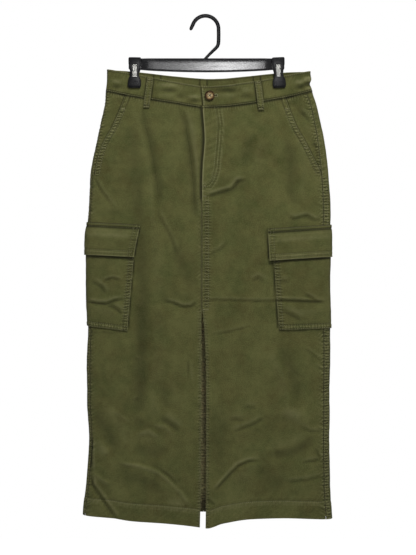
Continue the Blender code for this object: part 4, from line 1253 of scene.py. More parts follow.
# %% The panels' relief
def fly_relief(side, level, to_centre):
    """The left front laps over the right one down to the fly's foot, and is faced to the J-stitch."""
    above = 1 - ease((level - FLY_FOOT + 26.0) / 22.0)
    if side == "right":
        return -0.6 * (1 - ease(to_centre / 6.0)) * above
    reach = np.interp(level, *zip(*FLY_REACH))
    faced = (1 - ease((to_centre - reach + 1.5) / 2.5)) * (1 - ease((level - 338) / 3.0))
    folded = 0.9 * (1 - ease((to_centre - 4.0) / 10.0)) + 0.5 * bell(to_centre, 3.0)
    ripples = 0.16 * ripple(level + 0.5 * to_centre, 15.0, 45)
    ripples = ripples * ease(to_centre / 6.0) * (1 - ease((to_centre - reach) / 6.0))
    return folded * above + 0.45 * faced + (groove(to_centre, (reach, reach - 6.0)) + ripples) * above


def centre_relief(side, w, level, to_centre):
    """The seam below the fly, and the slit below that."""
    seam = ease((level - FLY_FOOT + 14) / 20.0) * (1 - ease((level - SLIT_TOP + 4) / 12.0))
    slit = ease((level - SLIT_TOP) / 14.0)
    sunk = -0.7 * bell(to_centre, 2.4) * seam
    if side == "left":
        sunk = sunk + (welt(to_centre, TWIN[1], 0.45) + groove(to_centre, TWIN)) * seam
    folded = (welt(to_centre, 10.0, 0.45) + groove(to_centre, (SLIT_ROW,), 0.35)) * slit
    return sunk + folded + down_pucker(CENTRE_PUCKER, w, level) + down_pucker(SLIT_PUCKERS[side], w, level)


def side_relief(side, w, level, to_side):
    """The pocket's edge above and the side seam below, on a front panel."""
    at_seam = ease((level - 300.0) / 16.0)
    pocket = welt(to_side, POCKET_ROWS[1], 0.6) + groove(to_side, POCKET_ROWS)
    pocket = pocket + 0.8 * bell(to_side, 7.0) * bell(level - 240, 45.0)
    pocket = pocket + down_pucker(POCKET_PUCKERS[side], w, level)
    seam = -0.5 * bell(to_side, 2.2) + down_pucker(SIDE_PUCKERS[side], w, level)
    return pocket * (1 - at_seam) + seam * at_seam


def panel_lift(face, side, w, level, near):
    to_side, to_centre = side_and_middle(face, side, near)
    shared = across_pucker(WAIST_PUCKER, w, level) + hem_relief(w, level, near)
    if face == "front":
        return (side_relief(side, w, level, to_side) + centre_relief(side, w, level, to_centre)
                + fly_relief(side, level, to_centre) + shared)
    edges = welt(to_side, SIDE_ROWS[1], 0.4) + groove(to_side, SIDE_ROWS, 0.3)
    edges = edges + welt(to_centre, BACK_ROWS[1], 0.5) + groove(to_centre, BACK_ROWS)
    return edges + down_pucker(SIDE_PUCKERS[side], w, level) + down_pucker(BACK_PUCKER, w, level) + shared


# %% Where the cargo pockets lie, round each side: mm from the fold, and levels
Patch = namedtuple("Patch", "front_top front_bottom back_top back_bottom "
                            "top_front top_back bottom_front bottom_back")
POUCHES = {
    "right": Patch(104, 88, 88, 74, 448, 436, 627, 606),
    "left": Patch(122, 110, 84, 72, 450, 440, 625, 618),
}
FLAPS = {
    "right": Patch(112, 101, 96, 94, 415, 404, 480, 470),
    "left": Patch(131, 128, 92, 90, 423, 408, 487, 473),
}


def patch_edge(side, patch, way, level):
    """The front edge of a pouch or flap for way 1, and its back edge for way -1."""
    upper, lower = (patch.front_top, patch.front_bottom) if way > 0 else (patch.back_top, patch.back_bottom)
    start, end = (patch.top_front, patch.bottom_front) if way > 0 else (patch.top_back, patch.bottom_back)
    share = np.clip((np.asarray(level, float) - start) / (end - start), 0, 1)
    return fold_w(side, way * (upper * (1 - share) + lower * share), level)


# %% Where the panels' seams draw the cloth up, and where it is dark
def down_mark(line, start, end, offset, width, w, level):
    fade = ease((level - start) / 8.0) * ease((end - level) / 8.0)
    return bell(aside_of(line, w, level) - offset, width) * fade


def under_band(near):
    """How hard the waist seam draws the cloth up, and the painted shadow below the band."""
    return bell(near.top - TUCKED - 1.0, 4.5) * 0.6, just_past(near.top - TUCKED, 2.6) * 1.2


def patch_shadow(side, patch, w, level):
    """The dark line on the panel just outside a pouch or flap."""
    beyond = TOWARDS_FRONT[side] * aside_of(partial(patch_edge, side, patch, 1), w, level)
    inside = ease((level - patch.top_front) / 3.0) * ease((patch.bottom_front - 3 - level) / 3.0)
    below = just_past(level - patch.bottom_front - 1.0, 2.2) * ease(1.0 - beyond)
    below = below * (patch in POUCHES.values())
    on_side = np.abs(((w - fold_w(side, 0.0, level) + 0.25) % 1.0) - 0.25) < 0.16
    return np.maximum(just_past(beyond, 3.0) * inside * 1.2, below * 0.45) * on_side


# The third value of these marks is painted shade: below the band, along the stitched rows and the side seam,
# just outside the pockets and beside the lap. Below 0 it paints a highlight on the lap's edge, and a pale
# line along the hem's row.
def panel_marks(face, side, w, level, near):
    sign = TOWARDS_FRONT[side]
    seam = partial(side_seam, side)
    to_side, to_centre = side_and_middle(face, side, near)
    down = down_mark(seam, 318, 1030, -6.0 * sign, 5.5, w, level) * (1.7 if side == "left" else 0.9)
    down = down + down_mark(seam, 318, 1030, 1.0 * sign, 3.0, w, level) * 0.4
    above_hem = near.bottom - HEM_DEPTH
    drawn_round, shadow = under_band(near)
    drawn_round = drawn_round + bell(above_hem + 4.0, 8.0) * 0.1
    shadow = shadow - bell(above_hem, 1.5) * 0.45 + bell(above_hem + 3.0, 1.6) * 0.25
    if face == "back":
        down = down + down_mark(back_seam, 150, 1030, -4.0 * sign, 8.0, w, level)
        return down, drawn_round, shadow + bell(to_side, 1.6) * 0.6 + rows_of(to_centre, BACK_ROWS, 1.5) * 0.4
    down = down + down_mark(partial(front_side, side), 176, 322, sign * 5.8, 5.5, w, level)
    shadow = shadow + rows_of(to_side, POCKET_ROWS) * 0.5 * (1 - ease((level - 310.0) / 10.0))
    above_foot = 1 - ease((level - FLY_FOOT + 4.0) / 8.0)
    at_slit = ease((level - SLIT_TOP + 2.0) / 10.0)
    down = down + bell(to_centre - 3.0, 3.5) * at_slit * 0.8
    shadow = shadow + bell(to_centre - SLIT_ROW, 1.3) * at_slit * 0.4
    for patch in (POUCHES[side], FLAPS[side]):
        shadow = shadow + patch_shadow(side, patch, w, level)
    if side == "right":
        lap = bell(to_centre, 3.4 + 1.4 * above_foot) * (1 - at_slit) * (0.4 + 0.9 * above_foot)
        return down, drawn_round, shadow + lap
    twin = (1 - above_foot) * (1 - at_slit)
    down = down + bell(to_centre - 9.5, 6.0) * twin * 1.3
    shadow = shadow + (rows_of(to_centre, TWIN) * 0.45 + bell(to_centre - 9.7, 4.0) * 0.15) * twin
    aside, _ = along_line(plain(w, level)[..., 0], level, J_STITCH)
    inward = aside if aside.ravel()[np.argmin(to_centre)] > 0 else -aside
    at_j = above_foot * (to_centre < 40)
    down = down + bell(inward - 3.0, 3.5) * at_j * 0.35
    shadow = shadow + (rows_of(inward, (3.0, -2.6), 1.6) - rows_of(inward, (0, 6.0), 1.2)) * 0.4 * at_j
    # Below 0: a painted highlight along the lap's edge.
    return down, drawn_round, shadow - bell(to_centre - 0.5, 2.0) * 0.9 * above_foot


# %% Make the panels
PANELS = {}
for side in TOWARDS_FRONT:
    for face, lines in (("front", [partial(front_side, side), partial(front_middle, side)]),
                        ("back", [partial(back_middle, side), partial(beside_seam, side, -1)])):
        PANELS[face, side] = Piece(f"{face}_{side}", *(lines if side == "right" else lines[::-1]), hem_edge,
                                   panel_top, CLOTH, partial(panel_lift, face, side),
                                   partial(panel_marks, face, side))

DOWN_PANEL = steps(840.0, 3.1, 1.9, 42.0, 12.0)
FINE_SIDE, FINE_CENTRE = 16.0, {"right": 16.0, "left": 40.0}
for (face, side), piece in PANELS.items():
    fine = side_and_middle(face, side, Near(FINE_SIDE, FINE_CENTRE[side] if face == "front" else 16.0, 0, 0))
    make_cloth(piece, steps(242.0, 4.0, 1.8, *fine), DOWN_PANEL, f"{face}_{side}_panel")

# %% [markdown]
# ## Hip facings and waistband
# The facing is the cloth behind a slanted pocket's edge, level with the panels at the side seam
# and lower under the edge. The waistband is two layers with interlining, stitched along both
# edges. Its front ends lap, so the right one dips behind the left one to carry the button.

# %% Make the hip facings
def pocket_end(w):
    """The facings end well below the pockets, behind the front panels."""
    return hem_edge(w) * (6 / 26) + panel_top(w) * (20 / 26)


def clear_of_edge(side, w, level):
    """How far a place is outside the pocket's edge, where the facing shows."""
    return -TOWARDS_FRONT[side] * aside_of(partial(front_side, side), w, level)


def facing_lift(side, w, level, near):
    clear, (to_seam, _) = clear_of_edge(side, w, level), side_and_middle("front", side, near)
    depth = 1.45 + 1.45 * ease((near.top - TUCKED) / 16.0)
    dip = -depth * (1 - ease((clear - 8.0) / 20.0)) * ease((to_seam + 1.0) / 8.0)
    dip = np.minimum(dip, -depth * (1 - ease((clear + 0.5) / 2.0)))
    seam = down_pucker(SIDE_PUCKERS[side], w, level) - 0.4 * bell(to_seam, 2.2)
    seam = seam + down_pucker(POCKET_PUCKERS[side], w, level) * 0.4
    return dip + seam + across_pucker(WAIST_PUCKER, w, level)


def facing_marks(side, w, level, near):
    drawn_round, shadow = under_band(near)
    # Painted shadow of the front panel's pocket edge on the facing.
    shadow = shadow + (1 - ease((clear_of_edge(side, w, level) - 0.5) / 3.0)) * 0.9
    return down_mark(partial(side_seam, side), 150, 330, 0.0, 6.0, w, level), drawn_round, shadow


for side, sign in TOWARDS_FRONT.items():
    lines = [moved(partial(side_seam, side), sign * HALF_GAP), moved(partial(front_side, side), sign * 12.0)]
    lines = lines if side == "right" else lines[::-1]
    piece = Piece(f"facing_{side}", *lines, pocket_end, panel_top, CLOTH, partial(facing_lift, side),
                  partial(facing_marks, side))
    make_cloth(piece, steps(58.0, 2.4, 1.8, 12.0, 12.0), steps(190.0, 3.0, 2.0, 8.0, 8.0),
               f"hip_facing_{side}")

# %% The waistband's rows, dents and belt loops
UNDERLAP, BAND_ROW, LOOP_WIDTH = 38.0, 2.2, 12.5
BAND_PUCKER = Pucker(lambda w: band_top(w) + 4.0, 0, 0, 9.0, 0.22, 9.0, 0.6, 75)
Loop = namedtuple("Loop", "name face x_top x_bottom top bottom")
LOOPS = [Loop(*row) for row in (
    ("front_right", "front", -109, -117, 122, 182),
    ("front_left", "front", 105, 112, 128, 187),
    ("back_right", "back", -96, -98, 118, 170),
    ("back_left", "back", 104, 106, 119, 171),
    ("centre_back", "back", -3, -3, 125, 178),
)]
# Each dent's x, level, half width, half height and depth.
BAND_DENTS = [(-70, 147, 22, 6.5, 0.6), (-50, 158, 10, 7.0, 0.5), (46, 147, 24, 6.0, 0.6),
              (-20, 168, 12, 5.0, 0.4), (80, 158, 12, 7.0, 0.5), (190, 140, 9, 6.0, 0.6),
              (-176, 139, 9, 6.0, 0.5), (207, 134, 8, 5.5, 1.2)]


def lap_line(level):
    return front_edge("left", BAND_LEVEL) + 0 * np.asarray(level, float)


def before_lap(w):
    """How far a place is on the wearer's right of the lapping end."""
    return (lap_line(BAND_LEVEL) - w) / mm_to_w(1.0, BAND_LEVEL)


def band_dents(w, level):
    x = plain(w, level)[..., 0]
    total = 0.0
    for middle, at, width, height, depth in BAND_DENTS:
        down = (level - at) / height
        total = total - 2.3 * depth * bell(x - middle, width) * (bell(down, 1) - 0.6 * bell(down + 1.9, 1))
    return total * (((w % 1.0) < 0.5) | (x > 195))


def band_lift(under, w, level, near):
    out = BAND_OUT + welt(near.top, 3.0, 0.35) + welt(near.bottom, 3.0, 0.35)
    out = out + groove(near.top, (BAND_ROW,), 0.3) + groove(near.bottom, (BAND_ROW,), 0.35)
    out = out + across_pucker(WAIST_PUCKER, w, level) * 0.8 + across_pucker(BAND_PUCKER, w, level)
    out = out + band_dents(w, level) * calm(w, level)
    return out - 3.4 * (1 - ease((before_lap(w) - 2.0) / 12.0)) if under else out


def loop_x(loop, level):
    share = np.clip((np.asarray(level, float) - loop.top) / (loop.bottom - loop.top), 0, 1)
    return loop.x_top * (1 - share) + loop.x_bottom * share


def band_marks(w, level, near):
    """Drawn up along both rows, with painted shade along the rows, at the lower edge, beside the lap and
    beside the belt loops.
    """
    x, before = plain(w, level)[..., 0], before_lap(w)
    face = np.where((w % 1.0) < 0.5, "front", "back")
    shadow = bell(near.top - BAND_ROW - 0.6, 1.4) * 0.8 + bell(near.bottom - BAND_ROW - 1.2, 1.3) * 0.9
    shadow = np.maximum(shadow + bell(near.bottom, 1.5) * 1.2, just_past(before, 2.6) * (face == "front"))
    for loop in LOOPS:
        aside = np.abs(x - loop_x(loop, level)) - LOOP_WIDTH / 2
        shadow = np.maximum(shadow, just_past(aside, 2.6) * 1.1 * (face == loop.face))
    drawn = bell(near.top - 2.0, 5.0) * 0.15 + bell(near.bottom - 2.0, 5.0) * 0.25
    # The keyhole is painted shade in the buttonhole's eye, and the pale line subtracted below is a painted
    # highlight along the lapping end's edge.
    keyhole = bell(np.hypot((x - 21.0) / 1.8, level - 158.0), 2.2) * (face == "front")
    return bell(before + 3.0, 4.0) * 0.5, drawn, shadow - bell(before + 1.5, 1.6) * 0.7 + keyhole


# %% Make the waistband
def at_fold(side, distance, turn=0):
    return lambda level: fold_w(side, distance, level) + turn


def band_piece(name, first, last, under=False):
    return Piece(name, first, last, waist_seam, band_top, BAND, partial(band_lift, under), band_marks)


BANDS = {
    "front_right": band_piece("waistband_right", at_fold("right", SEAM_GAP), moved(lap_line, UNDERLAP), True),
    "front_left": band_piece("waistband_left", lap_line, at_fold("left", SEAM_GAP)),
    "back": band_piece("waistband_rear", at_fold("left", -SEAM_GAP), at_fold("right", -SEAM_GAP, 1)),
}
for name, length in (("front_right", 236.0), ("front_left", 205.0), ("back", 408.0)):
    make_cloth(BANDS[name], steps(length, 2.3, 1.5, 10.0, 10.0), steps(43.0, 1.9, 1.5, 8.0, 8.0),
               f"waistband_{name}")

# %% [markdown]
# ## Cargo pockets and belt loops
# The pockets are wrapped over the side seams. Each is a pouch that bellies out a little, and a
# flap that is sewn above it and falls over its mouth, with its lower edge standing clear. They
# are the skirt's own surface moved out, so they keep to its folds and round its sides.

# %% The outline of a patch that wraps a side
PATCH_ROWS, FLAP_SIDE_ROWS, FLAP_TOP_ROWS = (2.2, 9.0), (4.5, 11.5), (1.8, 7.5)


def patch_piece(name, side, patch, thickness, lift, marks):
    front, back = partial(patch_edge, side, patch, 1), partial(patch_edge, side, patch, -1)

    def across(at_front, at_back):
        level = (at_front + at_back) / 2
        ends = sorted([(float(front(level)), at_front), (float(back(level)), at_back)])
        return lambda w: np.interp(w, *zip(*ends))

    lines = (back, front) if side == "right" else (front, back)
    return Piece(name, *lines, across(patch.bottom_front, patch.bottom_back),
                 across(patch.top_front, patch.top_back), thickness, lift, marks)


def edge_ripples(near, w, level, seed, height=0.45, width=9.0):
    """Ridges across a stitched patch's own two side edges and its foot."""
    beside = ripple(level, 6.4, seed) * bell(np.minimum(near.first, near.last), width)
    return height * (beside + ripple((w % 1.0) * SPREAD, 6.8, seed + 2) * bell(near.bottom, width))


# %% The pouches
def pouch_lift(side, w, level, near):
    sides = np.minimum(near.first, near.last)
    puff = 2.6 * ease(sides / 34.0) * ease(near.bottom / 40.0)
    puff = puff * ease((to_fold(w) - 8.0) / 45.0) * (0.6 + 0.4 * ease(near.top / 60.0))
    inside = np.minimum(sides, near.bottom)
    edges = welt(inside, PATCH_ROWS[1], 0.45) + groove(inside, PATCH_ROWS)
    return POCKET_OUT + puff + edges + edge_ripples(near, w, level, 91 + 6 * (side == "left"))


def pouch_marks(side, w, level, near):
    """Drawn up along its rows at the sides and the foot, with painted shade along them and a painted shadow
    below the flap.
    """
    flap = patch_piece("outline", side, FLAPS[side], FLAP, None, None)
    sides = np.minimum(near.first, near.last)
    rows = (rows_of(sides, PATCH_ROWS) + rows_of(near.bottom, PATCH_ROWS)) * 0.45
    dark = rows + bell(sides - 5.6, 3.5) * 0.2 + just_past(level - flap.bottom(w), 3.6)
    return bell(sides - 5.6, 5.5) * 1.4, bell(near.bottom - 5.0, 6.0) * 0.55, dark


# %% The flaps
def flap_lift(side, w, level, near):
    pouch = POUCH_PIECES[side]
    on_pouch = distances(pouch, w, np.maximum(level, pouch.top(w) + 1.0))
    beyond = np.clip(np.minimum(on_pouch.first, on_pouch.last), 0, None)
    puff = 1.6 * ease(beyond / 34.0) * ease((to_fold(w) - 8.0) / 45.0)
    base = LAYER_GAP + FLAP + (POCKET_OUT + puff) * ease(near.top / 27.0)
    stand = 2.3 * bell(near.bottom, 16.0) * ease((to_fold(w) - 4.0) / 30.0)
    sides = np.minimum(np.minimum(near.first, near.last), near.bottom)
    edges = welt(sides, FLAP_SIDE_ROWS[1], 0.3) + groove(sides, FLAP_SIDE_ROWS, 0.5)
    top = groove(near.top, FLAP_TOP_ROWS[:1], 0.4) + groove(near.top, FLAP_TOP_ROWS[1:], 1.0)
    tug = 0.25 * ripple((w % 1.0) * SPREAD, 9.0, 109) * bell(near.top, 8.0)
    ripples = edge_ripples(near, w, level, 103 + 6 * (side == "left"), 0.3, 10.0)
    return base + stand + edges + top + ripples + tug


def flap_marks(w, level, near):
    """Two rows at its sides and foot, and two deep ones where its top is sewn down. Painted shade lies
    along the rows and the top edge; the cloth is paler between the top rows and along its sides and foot.
    """
    sides = np.minimum(near.first, near.last)
    rows = (rows_of(sides, FLAP_SIDE_ROWS) + rows_of(near.bottom, FLAP_SIDE_ROWS)) * 0.4
    top = bell(near.top, 2.0) * 1.3 + bell(near.top - FLAP_TOP_ROWS[1], 2.8) * 1.4
    top = top - bell(near.top - 4.0, 1.3) * 0.5
    pale_mask = bell(sides - 0.4, 1.4) * 0.5 + bell(near.bottom - 0.4, 1.4) * 0.6
    return bell(sides - 8.0, 6.0) * 0.55, bell(near.bottom - 7.0, 6.0) * 0.2, rows + top - pale_mask


# %% Make the pockets
POUCH_PIECES, FLAP_PIECES = {}, {}
for side in TOWARDS_FRONT:
    POUCH_PIECES[side] = patch_piece(f"pouch_{side}", side, POUCHES[side], CLOTH, partial(pouch_lift, side),
                                     partial(pouch_marks, side))
    FLAP_PIECES[side] = patch_piece(f"flap_{side}", side, FLAPS[side], FLAP, partial(flap_lift, side),
                                    flap_marks)
for side, piece in POUCH_PIECES.items():
    make_cloth(piece, steps(190.0, 2.6, 1.8, 14.0, 14.0), steps(180.0, 2.6, 1.8, 14.0, 6.0),
               f"cargo_pouch_{side}")
for side, piece in FLAP_PIECES.items():
    make_cloth(piece, steps(212.0, 2.4, 1.8, 14.0, 14.0), steps(65.0, 2.0, 1.6, 12.0, 12.0),
               f"cargo_flap_{side}")


# %% The belt loops
def loop_edge(loop, offset):
    return lambda level: w_at(loop_x(loop, level) + offset, level, loop.face)


def loop_lift(w, level, near):
    """Sewn down at both ends, bowed out between them, and thickest along its folded edges."""
    bow = 1.5 * np.sin(math.pi * np.clip(near.top / (near.top + near.bottom), 0, 1)) ** 0.7
    tacked = 0.7 * (bell(near.top - 3, 2.0) + bell(near.bottom - 3, 2.0))
    return LOOP_OUT + 0.2 + bow - tacked + groove(np.minimum(near.first, near.last), (2.6,), 0.35)


def loop_marks(w, level, near):
    sides, ends = np.minimum(near.first, near.last), np.minimum(near.top, near.bottom)
    # The third value is painted shade along the rows and near the tacked ends.
    return (bell(sides - 2.0, 3.0) * 0.8, bell(ends - 3.0, 3.0),
            bell(sides - 2.6, 1.1) * 0.6 + bell(ends - 5.5, 1.5) * 0.5)


LOOP_PIECES = {}
for loop in LOOPS:
    lines = [loop_edge(loop, LOOP_WIDTH * share) for share in (-0.5, 0.5)]
    lines = lines if loop.face == "front" else lines[::-1]
    ends = level_line(loop.bottom), level_line(loop.top)
    LOOP_PIECES[loop] = Piece(f"loop_{loop.name}", *lines, *ends, LOOP, loop_lift, loop_marks)
    make_cloth(LOOP_PIECES[loop], steps(12.5, 1.1, 0.9, 3.0, 3.0), steps(60.0, 1.7, 1.2, 8.0, 8.0),
               f"belt_loop_{loop.name}")

# %% [markdown]
# ## What shows inside
# Through the slit the inside of the centre back seam can be seen. Its allowance is one narrow
# strip, overlocked along both edges and drawn up by its stitches more than the cloth beside it.
# Behind the fly is a closed zip, a woven tape with two rows of interlocked teeth.

# %% Make the seam allowance and its overlocking
SEAM_BROWN = make_twill("seam_allowance_twill", (0.36, 0.31, 0.13, 1.0), (0.62, 0.55, 0.27, 1.0))
OVERLOCK = make_thread("overlock_thread", (0.26, 0.22, 0.11, 1.0), (0.48, 0.42, 0.24, 1.0))
ALLOWANCE_OUT, ALLOWANCE = -(CLOTH + 1.4), 1.6


def allowance_marks(w, level, near):
    """Painted shade between the overlock's rungs, and painted shade above the hem."""
    rungs = np.sin(2 * math.pi * level / 5.6 + 2.2 * uneven(level, 141, 60.0))
    return 1 + 0 * w, 0 * w, 0.5 * np.clip(rungs, 0, 1) + ease((level - 940.0) / 35.0)


def allowance_lift(w, level, near):
    ruffle = 0.4 * ripple(level + 0.5 * near.first, 8.0, 131) + 0.24 * ripple(level - near.last, 5.2, 133)
    return ALLOWANCE_OUT + ruffle + down_pucker(BACK_PUCKER, w, level)


def under_allowance(w, level, near):
    """The strip's inner face, for the stitches that are laid there."""
    return allowance_lift(w, level, near) - ALLOWANCE - 0.3


allowance = Piece("seam_allowance", moved(back_seam, -7.0), moved(back_seam, 7.0),
                  lambda w: hem_edge(w) - 3.0, level_line(360.0), ALLOWANCE, allowance_lift, allowance_marks)
make_cloth(allowance, steps(14.0, 1.6, 1.2, 4.0, 4.0), steps(630.0, 1.2, 1.2, 6.0, 6.0), None,
           SEAM_BROWN)
sew("overlock_stitches", allowance._replace(lift=under_allowance),
    [down_run(back_seam, offset, 365.0, 985.0) for offset in (-6.2, -4.4, 4.4, 6.2)], OVERLOCK, pitch=3.0)

# %% Make the zip's teeth and tape
ZIP_WIDTH, ZIP_AHEAD, ZIP_THICKNESS, ZIP_BEHIND = 28.0, 9.0, 1.2, 2.3
ZIP_TOP, ZIP_FOOT, TOOTH_PITCH = 184.0, 338.0, 2.6


def zip_lift(w, level, near):
    return -(CLOTH + ZIP_BEHIND) + 0 * w


zip_edges = [partial(front_edge, "left", offset=offset) for offset in (-ZIP_AHEAD, ZIP_WIDTH - ZIP_AHEAD)]
zip_piece = Piece("zip_tape", *zip_edges, level_line(ZIP_FOOT), level_line(ZIP_TOP), ZIP_THICKNESS, zip_lift)

tooth = start_box("tooth", (-1.5, -0.65, -0.7), (1.5, 0.65, 0.7))
round_edges(0.25, 1)
TOOTH = take_shape(tooth)
tooth_levels = np.arange(ZIP_TOP + 4.0, ZIP_FOOT - 4.0, TOOTH_PITCH / 2)
middles = on_piece(zip_piece, front_edge("left", tooth_levels, ZIP_WIDTH / 2 - ZIP_AHEAD), tooth_levels, -0.4)
middles[0::2, 0] -= 0.9 * MM
middles[1::2, 0] += 0.9 * MM
material, shader, place = start_material("zip_teeth_plastic", 0.45)
grain = place_group(MOULDING, Place=place)
plug(mix_colour(grain["Scuff"], (0.03, 0.03, 0.014, 1.0), (0.09, 0.09, 0.05, 1.0)), shader["Base Color"])
bump(shader, grain["Height"], 0.0001)
teeth = repeat("zip_teeth", (middles[:, None] + TOOTH[0]).reshape(-1, 3), TOOTH, material)
make_cloth(zip_piece, steps(28.0, 2.5, 1.6, 4.0, 4.0), steps(154.0, 4.0, 2.0, 4.0, 4.0), "fly_zip")

# %% [markdown]
# ## Topstitching
# The rows follow the same lines as the edges they hold down, so they bend with every pucker.
# Bartacks are short close stitches where a seam is pulled: at the pockets, the fly and the loops.

# %% Sew the front panels
POCKET_TACK_LEVELS, FLY_TACKS = (262.0, 184.0), [(4.0, 338.0), (5.5, 358.0)]


def inset_span(piece, level, inside=2.5):
    """The two ends of a row that runs across a piece at a level."""
    step = mm_to_w(inside, level)
    return float(piece.first(level) + step), float(piece.last(level) - step)


def tack(line, offset, level, length=8.0):
    """A bartack beside a line that runs down the skirt."""
    return float(line(level) + mm_to_w(offset, level)), level, length


def opening_end(side):
    """The level where the slanted pocket meets the side seam."""
    level = np.arange(180.0, HIP_POCKET_END + 1)
    past = TOWARDS_FRONT[side] * (hip_opening(side, level) - beside_seam(side, 1, level)) > 0
    return float(level[past].max())


for side, sign in TOWARDS_FRONT.items():
    piece = PANELS["front", side]
    edge, middle = partial(front_side, side), partial(front_middle, side)
    runs = [down_run(edge, sign * offset, 182.0, opening_end(side) - 2) for offset in POCKET_ROWS]
    runs.append(across_run(hem_edge, HEM_DEPTH, *inset_span(piece, 975.0)))
    runs.append(down_run(middle, -sign * SLIT_ROW, SLIT_TOP + 16, 1004.0))
    tacks = [tack(edge, sign * 6.0, level) for level in POCKET_TACK_LEVELS]
    if side == "left":
        runs += [down_run(middle, offset, FLY_FOOT - 8, SLIT_TOP + 2) for offset in TWIN]
        runs += [free_run(J_STITCH), free_run(J_INNER)]
        lap = partial(front_edge, "left")
        tacks += [tack(lap, offset, level) for offset, level in FLY_TACKS]
        tacks.append((tack(lap, 7.0, SLIT_TOP)[0], SLIT_TOP + 6, 12.0))
    sew(f"front_{side}_stitches", piece, runs, thread, tacks)

# %% Sew the back panels
for side, sign in TOWARDS_FRONT.items():
    piece = PANELS["back", side]
    runs = [down_run(partial(beside_seam, side, -1), -sign * offset, 172.0, 985.0) for offset in SIDE_ROWS]
    runs += [down_run(partial(back_middle, side), sign * offset, 172.0, 985.0) for offset in BACK_ROWS]
    runs.append(across_run(hem_edge, HEM_DEPTH, *inset_span(piece, 960.0)))
    sew(f"back_{side}_stitches", piece, runs, thread)

# %% Sew the waistband, pockets and loops
for name, piece in BANDS.items():
    start, end = inset_span(piece, BAND_LEVEL, 4.0)
    if name == "front_right":
        end = tack(lap_line, -3.0, BAND_LEVEL)[0]
    runs = [across_run(band_top, -BAND_ROW, start, end), across_run(waist_seam, BAND_ROW, start, end)]
    if name == "front_left":
        runs.append(down_run(lap_line, 2.4, 141.0, 177.0))
    sew(f"{piece.name}_stitches", piece, runs, thread)


def patch_runs(piece, patch, rows, top_rows=()):
    """Rows inside a patch's edges."""
    low, high = max(patch.top_front, patch.top_back) + 3, min(patch.bottom_front, patch.bottom_back) - 3
    runs = [down_run(piece.first, row, low, high) for row in rows]
    runs += [down_run(piece.last, -row, low, high) for row in rows]
    runs += [across_run(piece.bottom, row, *inset_span(piece, high, rows[0])) for row in rows]
    return runs + [across_run(piece.top, -row, *inset_span(piece, low, rows[0])) for row in top_rows]


for side in TOWARDS_FRONT:
    pouch, flap = POUCH_PIECES[side], FLAP_PIECES[side]
    sew(f"pouch_{side}_stitches", pouch, patch_runs(pouch, POUCHES[side], PATCH_ROWS), thread)
    sew(f"flap_{side}_stitches", flap, patch_runs(flap, FLAPS[side], FLAP_SIDE_ROWS, FLAP_TOP_ROWS), thread)

for loop, piece in LOOP_PIECES.items():
    runs = [down_run(line, inward, loop.top + 5, loop.bottom - 5)
            for line, inward in ((piece.first, 2.6), (piece.last, -2.6))]
    tacks = [(sum(inset_span(piece, level, 0.0)) / 2, level, 9.5)
             for level in (loop.top + 3.0, loop.bottom - 3.0)]
    sew(f"loop_{loop.name}_stitches", piece, runs, thread, tacks)

# %% [markdown]
# ## The waist button
# A shirt-maker's four-hole button turned from mottled horn: a raised rim, a dished middle, and a
# cross of thread through the holes. It starts as a cylinder, and the dish is two insets. The
# holes are cut right through with a Boolean modifier, because thread and shadow show in them.

# %% The horn material
def make_horn(centre):
    material, shader, place = start_material("mottled_horn", 0.28, specular=0.06)
    mapping = material.node_tree.nodes.new("ShaderNodeMapping")
    plug([-c for c in centre], mapping.inputs["Location"])
    plug(place, mapping.inputs["Vector"])
    place = mapping.outputs["Vector"]
    length = material.node_tree.nodes.new("ShaderNodeVectorMath")
    length.operation = "LENGTH"
    plug(place, length.inputs[0])
    reach = length.outputs["Value"]
    streak = noise(place, 190.0, detail=4.0, roughness=0.6, stretch=(1.0, 1.0, 0.35))
    blot = noise(place, 330.0, detail=3.0)
    tone = scaled(streak, 3.6, -1.35, clamp=True)
    colour = mix_colour(tone, (0.07, 0.036, 0.013, 1.0), (0.34, 0.22, 0.09, 1.0))
    middle = times(scaled(reach, -400.0, 2.0, clamp=True), 0.95)
    spots = calc("MAXIMUM", scaled(blot, 4.0, -2.1, clamp=True), middle)
    colour = mix_colour(spots, colour, (0.66, 0.54, 0.32, 1.0))
    dark_rim = times(scaled(reach, 700.0, -4.3, clamp=True), scaled(blot, 1.6, 0.1, clamp=True))
    plug(mix_colour(dark_rim, colour, (0.022, 0.010, 0.005, 1.0)), shader["Base Color"])
    plug(scaled(blot, 0.2, 0.4), shader["Roughness"])
    bump(shader, streak, 0.0001, 0.5)
    return material


# %% Turn the button
BUTTON_AT, BUTTON_RADIUS, BUTTON_HEIGHT = (9.5, 157.5), 9.75, 3.0
HOLE_RADIUS, HOLE_REACH = 1.2, 2.4
button_base = on_piece(BANDS["front_left"], w_at(*BUTTON_AT, "front"), BUTTON_AT[1], -LAYER_GAP)
BUTTON_CENTRE = Vector(button_base) + Vector((0, -BUTTON_HEIGHT / 2 * MM, 0))

start_shape()
bpy.ops.mesh.primitive_cylinder_add(vertices=40, radius=BUTTON_RADIUS * MM, depth=BUTTON_HEIGHT * MM)
button = edit("horn_button")
select(button, "FACE", lambda c, n: n.z > 0.9)
for border in (1.2, 1.9, 1.3):
    bpy.ops.mesh.inset(thickness=border * MM)
shift(0, 0, -0.9)
select(button, "FACE", lambda c, n: n.z < -0.9)
bpy.ops.mesh.inset(thickness=1.4 * MM)
for degrees in (45, 135, 225, 315):
    x, y = HOLE_REACH * math.cos(math.radians(degrees)), HOLE_REACH * math.sin(math.radians(degrees))
    start_shape()
    bpy.ops.mesh.primitive_cylinder_add(vertices=14, radius=HOLE_RADIUS * MM, depth=8 * MM,
                                        location=(x * MM, y * MM, 0))
    drill = bpy.context.object
    apply_modifier(button, "BOOLEAN", object=drill, operation="DIFFERENCE", solver="EXACT")
    bpy.data.objects.remove(drill)
soften(button, 0.35)
